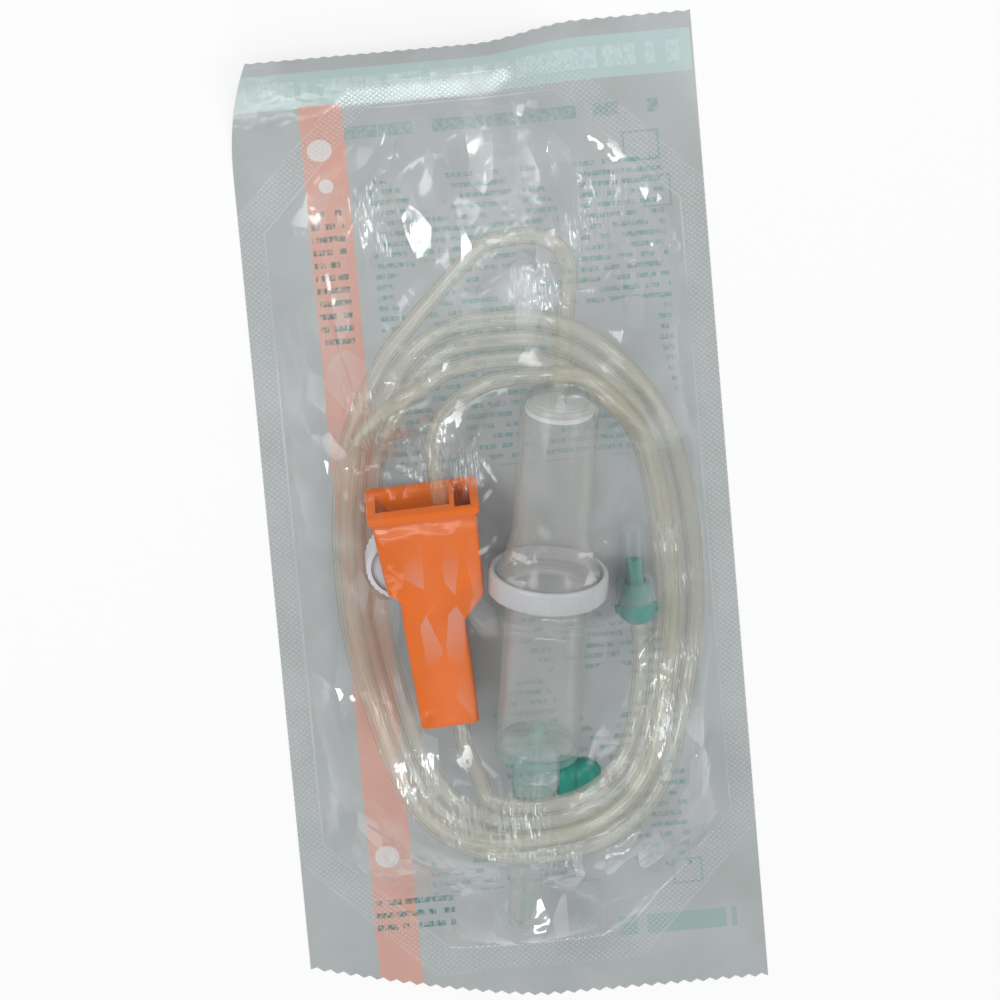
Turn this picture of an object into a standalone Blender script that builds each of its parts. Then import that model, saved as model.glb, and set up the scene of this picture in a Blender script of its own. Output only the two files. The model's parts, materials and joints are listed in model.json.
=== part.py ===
"""Gravity infusion set in its sealed peel pouch: a paper backing, a formed clear film,
and inside them a drip chamber with its spike, a coil of tubing, a roller clamp and a
capped luer connector. Metres, +Z up, pouch flat on its paper, photograph's top at +Y."""

import math

import bmesh
import bpy
from mathutils import Matrix, Vector
from mathutils.bvhtree import BVHTree

# Clearances
TOUCH_GAP = 0.0003
FILM_GAP = 0.0004
AXLE_GAP = 0.00015

# Pouch sheets
POUCH_WIDTH = 0.113
POUCH_TOP = 0.1307
POUCH_BOTTOM = -POUCH_TOP
PAPER_THICK = 0.00025
FILM_THICK = 0.0003
SLANT_RISE = 0.013
SLANT_WIDTH = 0.058
SLANT_POWER = 1.3
CURL_RISE = 0.009
CURL_START_Y = 0.098
CURL_END_X = 0.030
CURL_FADE = 0.028

# Pocket of the film, an octagon inside the seal
POCKET_HALF_WIDTH = 0.0505
POCKET_TOP = 0.1135
POCKET_BOTTOM = -0.1145
POCKET_CORNER_X = 0.0283
POCKET_CORNER_Y = 0.0315
POCKET_EDGE_STRIP = 0.0013
POCKET_PILLOW = 0.0045
POCKET_PILLOW_REACH = 0.014
FILM_SLOPE = 1.05
FILM_STEEPEST = 2.5
FILM_COLUMNS = 26
FILM_ROWS = 60
FILM_SMOOTHING = 8
FILM_SAMPLES = 5

# Tubing
TUBE_DIAMETER = 0.0041
TUBE_BORE = 0.003
TUBE_SIDES_RESOLUTION = 2
TUBE_STATION = 2.2 * TUBE_DIAMETER
ROUTE_STEPS = 20

# Drip chamber, measured along its axis from the middle of the ring
CHAMBER_TURN = math.radians(8.0)
RING_X = 0.0105
RING_Y = -0.0101
RING_RADIUS = 0.01475
RING_HALF = 0.003
RING_WEB = 0.0012
UPPER_RADIUS = 0.01025
UPPER_LENGTH = 0.0445
UPPER_WALL = 0.0012
FLANGE_RADIUS = 0.0131
FLANGE_THICK = 0.0015
LOWER_RADIUS = 0.00955
LOWER_LENGTH = 0.0495
LOWER_WALL = 0.0009
FLARE_LENGTH = 0.016
FLARE_POWER = 2.2
FLARE_STEPS = 6
OUTLET_BOSS_RADIUS = 0.0071
NOZZLE_RADIUS = 0.0031
NOZZLE_LENGTH = 0.006
FILTER_THICK = 0.0012

# Spike, its cap and its air vent
SPIKE_PLATE_THICK = 0.0022
SPIKE_PLUG_DEPTH = 0.0026
SPIKE_BORE = 0.0009
DRIP_TIP_LENGTH = 0.0035
NECK_RADIUS = 0.0054
NECK_LENGTH = 0.0108
SHAFT_RADIUS = 0.00275
SHAFT_LENGTH = 0.0265
POINT_LENGTH = 0.0075
SPIKE_CAP_RADIUS = 0.0050
SPIKE_CAP_COLLAR = 0.0056
SPIKE_CAP_COLLAR_LENGTH = 0.0025
SPIKE_CAP_WALL = 0.0009
SPIKE_CAP_EXTRA = 0.0014
VENT_RADIUS = 0.0041
VENT_REACH = 0.0070
VENT_RECESS = 0.0014
VENT_RECESS_RADIUS = 0.0035
VENT_FILTER_THICK = 0.0008
VENT_CAP_RADIUS = 0.0052
VENT_CAP_LENGTH = 0.0042
VENT_CAP_EDGE = 0.0007
VENT_TAB_LENGTH = 0.0090
VENT_TAB_RADIUS = 0.0046
VENT_TAB_SHIFT = 0.0003
VENT_TAB_FULLNESS = 0.7
VENT_TAB_STEPS = 8

# Roller clamp, measured from the middle of its lower end
CLAMP_X = -0.0164
CLAMP_Y = -0.0467
CLAMP_TURN = math.radians(2.5)
CLAMP_LENGTH = 0.061
CLAMP_HALF_WIDTH = 0.0069
CLAMP_FRONT_LOW = -0.0071
CLAMP_FRONT_WAIST = -0.0079
CLAMP_FRONT_SHOULDER = -0.0106
CLAMP_FRONT_TOP = -0.0122
CLAMP_BACK_LOW = 0.0071
CLAMP_BACK_TOP = 0.0136
WAIST_HEIGHT = 0.0350
SHOULDER_HEIGHT = 0.0388
POCKET_FLOOR_HEIGHT = 0.0300
RIM_HEIGHT = 0.0022
RIM_OVERHANG = 0.0008
CLAMP_CORNER = 0.0012
CHANNEL_HALF_WIDTH = 0.0041
CHANNEL_BACK_LOW = 0.0048
CHANNEL_BACK_TOP = 0.0073
CHANNEL_BACK_KNEE = 0.0457
CHANNEL_FRONT_WALL = 0.0014
CHANNEL_FOOT = 0.0050
SLOT_TOP = 0.0560
WEB_THICK = 0.0012
SPIKE_POCKET_WALL = 0.0012
SPIKE_POCKET_RAMP = 0.0049
TUBE_EXIT_RADIUS = 0.0026

# Roller and its travel
ROLLER_RADIUS = 0.0090
ROLLER_HALF_WIDTH = 0.0035
ROLLER_RIBS = 32
ROLLER_RIB_DEPTH = 0.0003
ROLLER_DISH = 0.0012
ROLLER_HUB = 0.0030
AXLE_RADIUS = 0.00145
AXLE_REACH = 0.0052
ROLLER_REST_U = -0.00607
ROLLER_REST_V = 0.0444
ROLLER_TRAVEL_U = 0.00177
ROLLER_TRAVEL_V = 0.0280
ROLLER_STOPS = 4
GROOVE_STEPS = 6

# Luer connector, measured along its axis from its tube end
LUER_X = 0.0315
LUER_Y = -0.0276
LUER_TURN = math.radians(1.4)
LUER_GRIP_RADIUS = 0.0045
LUER_GRIP_LENGTH = 0.0054
LUER_GRIP_EDGE = 0.0009
LUER_GRIP_RIBS = 16
LUER_RIB_DEPTH = 0.00035
LUER_LOCK_RADIUS = 0.0036
LUER_LOCK_END = 0.0106
LUER_TAPER_BASE = 0.00215
LUER_TAPER_TIP = 0.00195
LUER_TIP_END = 0.0165
LUER_BORE = 0.0012
LUER_FIN_REACH = 0.0053
LUER_FIN_HALF_THICK = 0.0007
LUER_CAP_SKIRT = 0.0047
LUER_CAP_RADIUS = 0.0034
LUER_CAP_END = 0.0255
LUER_CAP_WALL = 0.0007

# Coil of tubing: inner and outer outline, its two layers and its rise over the chamber
COIL_INNER_LEFT = -0.0312
COIL_INNER_RIGHT = 0.0378
COIL_INNER_TOP = 0.0501
COIL_INNER_BOTTOM = -0.0675
COIL_OUTER_LEFT = -0.0428
COIL_OUTER_RIGHT = 0.0486
COIL_OUTER_TOP = 0.0690
COIL_OUTER_BOTTOM = -0.0860
COIL_SQUARENESS = 2.45
COIL_STEP = 0.0047
COIL_STATIONS = 72
RISE_START = 0.028
RISE_END = 0.058

# Route of the free tubing, chosen along the photograph's strands: x, y, height of the middle
LEAD_ROUTE = (
    (0.0208, 0.0640, 0.0156),
    (0.0221, 0.0705, 0.0160),
    (0.0214, 0.0765, 0.0168),
    (0.0182, 0.0812, 0.0176),
    (0.0128, 0.0835, 0.0182),
    (0.0060, 0.0834, 0.0186),
    (-0.0010, 0.0815, 0.0186),
)
LEAD_END_ANGLES = (110.0, 116.0)
TO_CLAMP_ROUTE = (
    (-0.0142, 0.0200, 0.0142),
    (-0.0146, 0.0270, 0.0152),
    (-0.0130, 0.0345, 0.0166),
    (-0.0085, 0.0410, 0.0182),
)
TO_CLAMP_END_ANGLES = (101.0, 94.0)
FROM_CLAMP_ROUTE = (
    (-0.0137, -0.0525, 0.0092),
    (-0.0128, -0.0565, 0.0128),
    (-0.0105, -0.0600, 0.0170),
)
FROM_CLAMP_END_ANGLES = (249.0, 253.0)
TAIL_ROUTE = (
    (0.0319, -0.0320, 0.0048),
    (0.0319, -0.0370, 0.0040),
)
TAIL_END_ANGLES = (325.0, 322.0)

PAPER_TOP = PAPER_THICK
REST_HEIGHT = PAPER_TOP + TOUCH_GAP
TUBE_RADIUS = TUBE_DIAMETER / 2
SOCKET_RADIUS = TUBE_RADIUS + TOUCH_GAP
CHAMBER_HEIGHT = REST_HEIGHT + RING_RADIUS


def clear_scene():
    for scene_object in list(bpy.data.objects):
        bpy.data.objects.remove(scene_object, do_unlink=True)


def make_material(name, color, roughness, metallic=0.0, alpha=1.0, transmission=0.0):
    material = bpy.data.materials.new(name)
    material.use_nodes = True
    shader = material.node_tree.nodes["Principled BSDF"]
    shader.inputs["Base Color"].default_value = (*color, 1.0)
    shader.inputs["Roughness"].default_value = roughness
    shader.inputs["Metallic"].default_value = metallic
    shader.inputs["Alpha"].default_value = alpha
    shader.inputs["Transmission Weight"].default_value = transmission
    return material


def finish_mesh(name, form, material, matrix=None, smooth_angle=35.0):
    """Turns a bmesh into an object with outward faces at the given place."""
    bmesh.ops.recalc_face_normals(form, faces=form.faces)
    mesh = bpy.data.meshes.new(name)
    form.to_mesh(mesh)
    form.free()
    mesh.shade_smooth()
    mesh.set_sharp_from_angle(angle=math.radians(smooth_angle))
    piece = bpy.data.objects.new(name, mesh)
    bpy.context.scene.collection.objects.link(piece)
    if material:
        mesh.materials.append(material)
    if matrix:
        piece.matrix_world = matrix
    return piece


def add_ring_faces(form, rings, closed):
    """Joins rings of vertices; a ring of one vertex is a pole."""
    count = len(rings)
    for index in range(count if closed else count - 1):
        first = rings[index]
        second = rings[(index + 1) % count]
        sides = max(len(first), len(second))
        for side in range(sides):
            after = (side + 1) % sides
            corners = [
                first[side % len(first)],
                first[after % len(first)],
                second[after % len(second)],
                second[side % len(second)],
            ]
            unique = list(dict.fromkeys(corners))
            if len(unique) > 2:
                form.faces.new(unique)


def revolve(name, profile, matrix, material, segments=28, closed=True, ribs=None):
    """Turns a profile of (radius, height) about the local Z axis. Ribs are a pair:
    the set of profile points that carry them, and their depth."""
    form = bmesh.new()
    rings = []
    for place, (radius, height) in enumerate(profile):
        if radius <= 0.0:
            rings.append([form.verts.new((0.0, 0.0, height))])
            continue
        ring = []
        for segment in range(segments):
            angle = 2 * math.pi * segment / segments
            reach = radius
            if ribs and place in ribs[0] and segment % 2:
                reach = radius - ribs[1]
            ring.append(form.verts.new((reach * math.cos(angle), reach * math.sin(angle), height)))
        rings.append(ring)
    add_ring_faces(form, rings, closed)
    return finish_mesh(name, form, material, matrix)


def prism(name, outline, low, high, matrix=None, material=None):
    """Extrudes an outline of (x, y) between two heights of local Z."""
    form = bmesh.new()
    bottom = [form.verts.new((x, y, low)) for x, y in outline]
    top = [form.verts.new((x, y, high)) for x, y in outline]
    form.faces.new(bottom)
    form.faces.new(top)
    add_ring_faces(form, [bottom, top], closed=False)
    return finish_mesh(name, form, material, matrix)


def cut(piece, cutter, operation="DIFFERENCE"):
    """Applies a Boolean with a helper solid, which stays hidden in the file."""
    cutter.hide_render = True
    cutter.display_type = "WIRE"
    modifier = piece.modifiers.new(cutter.name, "BOOLEAN")
    modifier.operation = operation
    modifier.solver = "EXACT"
    modifier.object = cutter


def axis_matrix(origin, along, across):
    """Local Z runs along the given direction, local X across it."""
    z_axis = along.normalized()
    x_axis = (across - across.dot(z_axis) * z_axis).normalized()
    y_axis = z_axis.cross(x_axis)
    rotation = Matrix((x_axis, y_axis, z_axis)).transposed().to_4x4()
    return Matrix.Translation(origin) @ rotation


def smooth_step(value):
    value = min(1.0, max(0.0, value))
    return value * value * (3.0 - 2.0 * value)


def circle_outline(radius, centre_x=0.0, centre_y=0.0, sides=20):
    points = []
    for side in range(sides):
        angle = 2 * math.pi * side / sides
        points.append((centre_x + radius * math.cos(angle), centre_y + radius * math.sin(angle)))
    return points


# Places of the three assemblies
CHAMBER_ALONG = Vector((math.sin(CHAMBER_TURN), math.cos(CHAMBER_TURN), 0.0))
CHAMBER_ACROSS = Vector((math.cos(CHAMBER_TURN), -math.sin(CHAMBER_TURN), 0.0))
CHAMBER_ORIGIN = Vector((RING_X, RING_Y, CHAMBER_HEIGHT))
CHAMBER_MATRIX = axis_matrix(CHAMBER_ORIGIN, CHAMBER_ALONG, CHAMBER_ACROSS)

CLAMP_LOW_HEIGHT = REST_HEIGHT + CLAMP_HALF_WIDTH
RIM_HALF_WIDTH = CLAMP_HALF_WIDTH + RIM_OVERHANG
STRAND_TOP = REST_HEIGHT + TUBE_DIAMETER + TOUCH_GAP
CLAMP_TILT = math.asin((STRAND_TOP + 2 * TOUCH_GAP + RIM_HALF_WIDTH - CLAMP_LOW_HEIGHT) / CLAMP_LENGTH)
CLAMP_MATRIX = (
    Matrix.Translation(Vector((CLAMP_X, CLAMP_Y, CLAMP_LOW_HEIGHT)))
    @ Matrix.Rotation(CLAMP_TURN, 4, "Z")
    @ Matrix.Rotation(CLAMP_TILT, 4, "X")
)

LUER_ALONG = Vector((math.sin(LUER_TURN), math.cos(LUER_TURN), 0.0))
LUER_ORIGIN = Vector((LUER_X, LUER_Y, REST_HEIGHT + LUER_CAP_SKIRT))
LUER_MATRIX = axis_matrix(LUER_ORIGIN, LUER_ALONG, Vector((1.0, 0.0, 0.0)))


# Outline of the coil

def coil_shape(inner):
    """Centre and half sizes of the coil's inner or outer outline."""
    if inner:
        left, right, top, bottom = COIL_INNER_LEFT, COIL_INNER_RIGHT, COIL_INNER_TOP, COIL_INNER_BOTTOM
    else:
        left, right, top, bottom = COIL_OUTER_LEFT, COIL_OUTER_RIGHT, COIL_OUTER_TOP, COIL_OUTER_BOTTOM
    return (left + right) / 2, (top + bottom) / 2, (right - left) / 2, (top - bottom) / 2


def coil_edge(angle, inner):
    """Point of the rounded oval at an angle in radians from +X."""
    centre_x, centre_y, half_x, half_y = coil_shape(inner)
    power = 2.0 / COIL_SQUARENESS
    cosine, sine = math.cos(angle), math.sin(angle)
    x = centre_x + half_x * math.copysign(abs(cosine) ** power, cosine)
    y = centre_y + half_y * math.copysign(abs(sine) ** power, sine)
    return Vector((x, y, 0.0))


def coil_base(y):
    """Height of the coil's underside, which climbs over the two ends of the chamber."""
    centre_y = coil_shape(True)[1]
    climb = smooth_step((abs(y - centre_y) - RISE_START) / (RISE_END - RISE_START))
    if y > centre_y:
        crest = CHAMBER_HEIGHT + TUBE_RADIUS + TOUCH_GAP
    else:
        crest = CHAMBER_HEIGHT + SPIKE_CAP_COLLAR + TOUCH_GAP
    return REST_HEIGHT + climb * (crest - REST_HEIGHT)


def coil_neighbour(angle_degrees, inner):
    """Middle of a strand that lies against the coil at its foot, inside or outside it."""
    angle = math.radians(angle_degrees)
    edge = coil_edge(angle, inner)
    step = math.radians(0.5)
    tangent = coil_edge(angle + step, inner) - coil_edge(angle - step, inner)
    normal = Vector((tangent.y, -tangent.x, 0.0)).normalized()
    if inner:
        normal = -normal
    spot = edge + normal * (TUBE_RADIUS + TOUCH_GAP)
    spot.z = coil_base(edge.y) + TUBE_RADIUS
    return spot


# Pieces

def build_chamber(materials):
    clear = materials["clear_rigid"]
    soft = materials["clear_soft"]

    upper_inner = UPPER_RADIUS - UPPER_WALL
    mouth = -TOUCH_GAP / 2
    revolve("chamber_upper", [
        (upper_inner, -UPPER_LENGTH),
        (UPPER_RADIUS, -UPPER_LENGTH),
        (UPPER_RADIUS, mouth - FLANGE_THICK),
        (FLANGE_RADIUS, mouth - FLANGE_THICK),
        (FLANGE_RADIUS, mouth),
        (upper_inner, mouth),
    ], CHAMBER_MATRIX, clear)

    recess = mouth - FLANGE_THICK - TOUCH_GAP
    ring_bore = UPPER_RADIUS + TOUCH_GAP
    ring_seat = FLANGE_RADIUS + TOUCH_GAP
    edge = (RING_RADIUS - ring_seat) / 2
    revolve("chamber_ring", [
        (ring_bore, recess - RING_WEB),
        (RING_RADIUS - edge, recess - RING_WEB),
        (RING_RADIUS, recess - RING_WEB + edge),
        (RING_RADIUS, RING_HALF - edge),
        (RING_RADIUS - edge / 2, RING_HALF),
        (ring_seat, RING_HALF),
        (ring_seat, recess),
        (ring_bore, recess),
    ], CHAMBER_MATRIX, materials["ring_white"], segments=40)

    outer = [(FLANGE_RADIUS, -mouth), (FLANGE_RADIUS, -mouth + FLANGE_THICK)]
    flare_gain = FLANGE_RADIUS - LOWER_RADIUS
    for step in range(1, FLARE_STEPS + 1):
        share = step / FLARE_STEPS
        height = -mouth + FLANGE_THICK + share * FLARE_LENGTH
        outer.append((LOWER_RADIUS + flare_gain * (1.0 - share) ** FLARE_POWER, height))
    outer += [(LOWER_RADIUS, LOWER_LENGTH - LOWER_WALL), (LOWER_RADIUS - LOWER_WALL, LOWER_LENGTH)]
    outlet_bore = OUTLET_BOSS_RADIUS + TOUCH_GAP
    inner = [(outlet_bore, LOWER_LENGTH), (outlet_bore, LOWER_LENGTH - LOWER_WALL)]
    inner.append((LOWER_RADIUS - LOWER_WALL, LOWER_LENGTH - LOWER_WALL))
    for radius, height in reversed(outer[:-2]):
        inner.append((radius - LOWER_WALL, height))
    revolve("chamber_lower", outer + inner, CHAMBER_MATRIX, soft)

    plug_radius = LOWER_RADIUS - LOWER_WALL - TOUCH_GAP
    plug_top = LOWER_LENGTH - LOWER_WALL - TOUCH_GAP
    plug_foot = plug_top - UPPER_WALL
    boss_top = LOWER_LENGTH + UPPER_WALL
    nozzle_end = boss_top + NOZZLE_LENGTH
    revolve("chamber_outlet", [
        (TUBE_BORE / 2, plug_foot),
        (plug_radius, plug_foot),
        (plug_radius, plug_top),
        (OUTLET_BOSS_RADIUS, plug_top),
        (OUTLET_BOSS_RADIUS, boss_top - TOUCH_GAP),
        (NOZZLE_RADIUS + TOUCH_GAP, boss_top),
        (NOZZLE_RADIUS, nozzle_end),
        (SOCKET_RADIUS, nozzle_end),
        (SOCKET_RADIUS, boss_top),
        (TUBE_BORE / 2, boss_top),
    ], CHAMBER_MATRIX, soft)

    filter_top = plug_foot - TOUCH_GAP
    filter_rim = plug_radius - FILTER_THICK
    revolve("fluid_filter", [
        (0.0, filter_top),
        (plug_radius, filter_top),
        (plug_radius, filter_top - FILTER_THICK),
        (filter_rim, filter_top - FILTER_THICK),
        (filter_rim, filter_top - FILTER_THICK / 2),
        (0.0, filter_top - FILTER_THICK / 2),
    ], CHAMBER_MATRIX, materials["filter_white"], closed=False)
    return nozzle_end, boss_top


def build_spike(materials):
    upper_inner = UPPER_RADIUS - UPPER_WALL
    seat = -UPPER_LENGTH - TOUCH_GAP
    plug_radius = upper_inner - TOUCH_GAP
    plug_end = seat + SPIKE_PLUG_DEPTH
    plate_foot = seat - SPIKE_PLATE_THICK
    neck_foot = plate_foot - NECK_LENGTH
    shaft_foot = neck_foot - SHAFT_LENGTH
    point = shaft_foot - POINT_LENGTH
    drip_radius = 2 * SPIKE_BORE
    edge = SPIKE_PLATE_THICK / 4
    spike = revolve("spike", [
        (SPIKE_BORE, plug_end + DRIP_TIP_LENGTH),
        (drip_radius, plug_end + DRIP_TIP_LENGTH),
        (drip_radius + edge, plug_end),
        (plug_radius, plug_end),
        (plug_radius, seat),
        (UPPER_RADIUS, seat),
        (UPPER_RADIUS, plate_foot + edge),
        (UPPER_RADIUS - edge, plate_foot),
        (NECK_RADIUS, plate_foot),
        (NECK_RADIUS, neck_foot + edge),
        (NECK_RADIUS - edge, neck_foot),
        (SHAFT_RADIUS, neck_foot),
        (SHAFT_RADIUS, shaft_foot),
        (SPIKE_BORE + edge / 2, point),
        (SPIKE_BORE, point),
    ], CHAMBER_MATRIX, materials["spike_tint"])

    vent_height = plate_foot - VENT_CAP_RADIUS - TOUCH_GAP
    vent_origin = CHAMBER_ORIGIN + CHAMBER_ALONG * vent_height
    vent_matrix = axis_matrix(vent_origin, CHAMBER_ACROSS, CHAMBER_ALONG)
    boss_outline = circle_outline(VENT_RADIUS, sides=24)
    boss = prism("vent_boss_form", boss_outline, SHAFT_RADIUS, VENT_REACH, vent_matrix)
    recess_floor = VENT_REACH - VENT_RECESS
    recess_outline = circle_outline(VENT_RECESS_RADIUS, sides=24)
    recess = prism("vent_recess_form", recess_outline, recess_floor, 2 * VENT_REACH, vent_matrix)
    cut(spike, boss, "UNION")
    cut(spike, recess)

    filter_radius = VENT_RECESS_RADIUS - TOUCH_GAP
    filter_low = recess_floor + TOUCH_GAP
    revolve("vent_filter", [
        (0.0, filter_low),
        (filter_radius, filter_low),
        (filter_radius, filter_low + VENT_FILTER_THICK),
        (0.0, filter_low + VENT_FILTER_THICK),
    ], vent_matrix, materials["filter_white"], segments=24, closed=False)

    socket = VENT_RADIUS + TOUCH_GAP
    cap_low = NECK_RADIUS + TOUCH_GAP
    socket_top = VENT_REACH + TOUCH_GAP
    cap_top = cap_low + VENT_CAP_LENGTH
    edge = VENT_CAP_EDGE
    vent_cap = revolve("vent_cap", [
        (socket, cap_low),
        (VENT_CAP_RADIUS - edge / 2, cap_low),
        (VENT_CAP_RADIUS, cap_low + edge / 2),
        (VENT_CAP_RADIUS, cap_top - 2 * edge),
        (VENT_CAP_RADIUS - edge / 2, cap_top - edge / 2),
        (VENT_CAP_RADIUS - 2 * edge, cap_top),
        (0.0, cap_top),
        (0.0, socket_top),
        (socket, socket_top),
    ], vent_matrix, materials["cap_green"], segments=24, closed=False)
    close_pole_loop(vent_cap)

    tab_low = socket_top + TOUCH_GAP
    tab_end = socket_top + VENT_TAB_LENGTH
    tab_middle = (tab_low + tab_end) / 2
    tab_half = (tab_end - tab_low) / 2
    profile = []
    for step in range(VENT_TAB_STEPS + 1):
        angle = math.pi * step / VENT_TAB_STEPS
        swell = math.sin(angle) ** VENT_TAB_FULLNESS if 0 < step < VENT_TAB_STEPS else 0.0
        profile.append((VENT_TAB_RADIUS * swell, tab_middle - tab_half * math.cos(angle)))
    tab_matrix = vent_matrix @ Matrix.Translation(Vector((VENT_TAB_SHIFT, 0.0, 0.0)))
    tab = revolve("vent_tab_form", profile, tab_matrix, None, segments=16, closed=False)
    cut(vent_cap, tab, "UNION")

    cap_mouth = neck_foot - TOUCH_GAP
    collar_foot = cap_mouth - SPIKE_CAP_COLLAR_LENGTH
    cap_end = point - SPIKE_CAP_EXTRA - SPIKE_CAP_WALL
    tip_radius = SPIKE_CAP_RADIUS - SPIKE_CAP_WALL
    revolve("spike_cap", [
        (0.0, cap_end),
        (tip_radius - SPIKE_CAP_WALL, cap_end),
        (tip_radius, cap_end + SPIKE_CAP_WALL),
        (SPIKE_CAP_RADIUS, collar_foot - SPIKE_CAP_WALL / 2),
        (SPIKE_CAP_COLLAR, collar_foot),
        (SPIKE_CAP_COLLAR, cap_mouth),
        (SPIKE_CAP_COLLAR - SPIKE_CAP_WALL, cap_mouth),
        (SPIKE_CAP_RADIUS - SPIKE_CAP_WALL, collar_foot),
        (tip_radius - SPIKE_CAP_WALL, cap_end + 2 * SPIKE_CAP_WALL),
        (0.0, cap_end + SPIKE_CAP_WALL),
    ], CHAMBER_MATRIX, materials["cap_frosted"], segments=24, closed=False)


def close_pole_loop(piece):
    """Recalculates the outward side of a turned cup whose profile starts off the axis."""
    form = bmesh.new()
    form.from_mesh(piece.data)
    open_edges = [edge for edge in form.edges if len(edge.link_faces) == 1]
    if open_edges:
        bmesh.ops.bridge_loops(form, edges=open_edges)
    bmesh.ops.recalc_face_normals(form, faces=form.faces)
    form.to_mesh(piece.data)
    form.free()


def rounded_section(front, back, half_width, corner):
    """Four rounded corners of the clamp's section, as (u, w) points."""
    points = []
    centres = (
        (back - corner, half_width - corner, 0.0),
        (front + corner, half_width - corner, 90.0),
        (front + corner, corner - half_width, 180.0),
        (back - corner, corner - half_width, 270.0),
    )
    for centre_u, centre_w, start in centres:
        for turn in (0.0, 45.0, 90.0):
            angle = math.radians(start + turn)
            points.append((centre_u + corner * math.cos(angle), centre_w + corner * math.sin(angle)))
    return points


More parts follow.
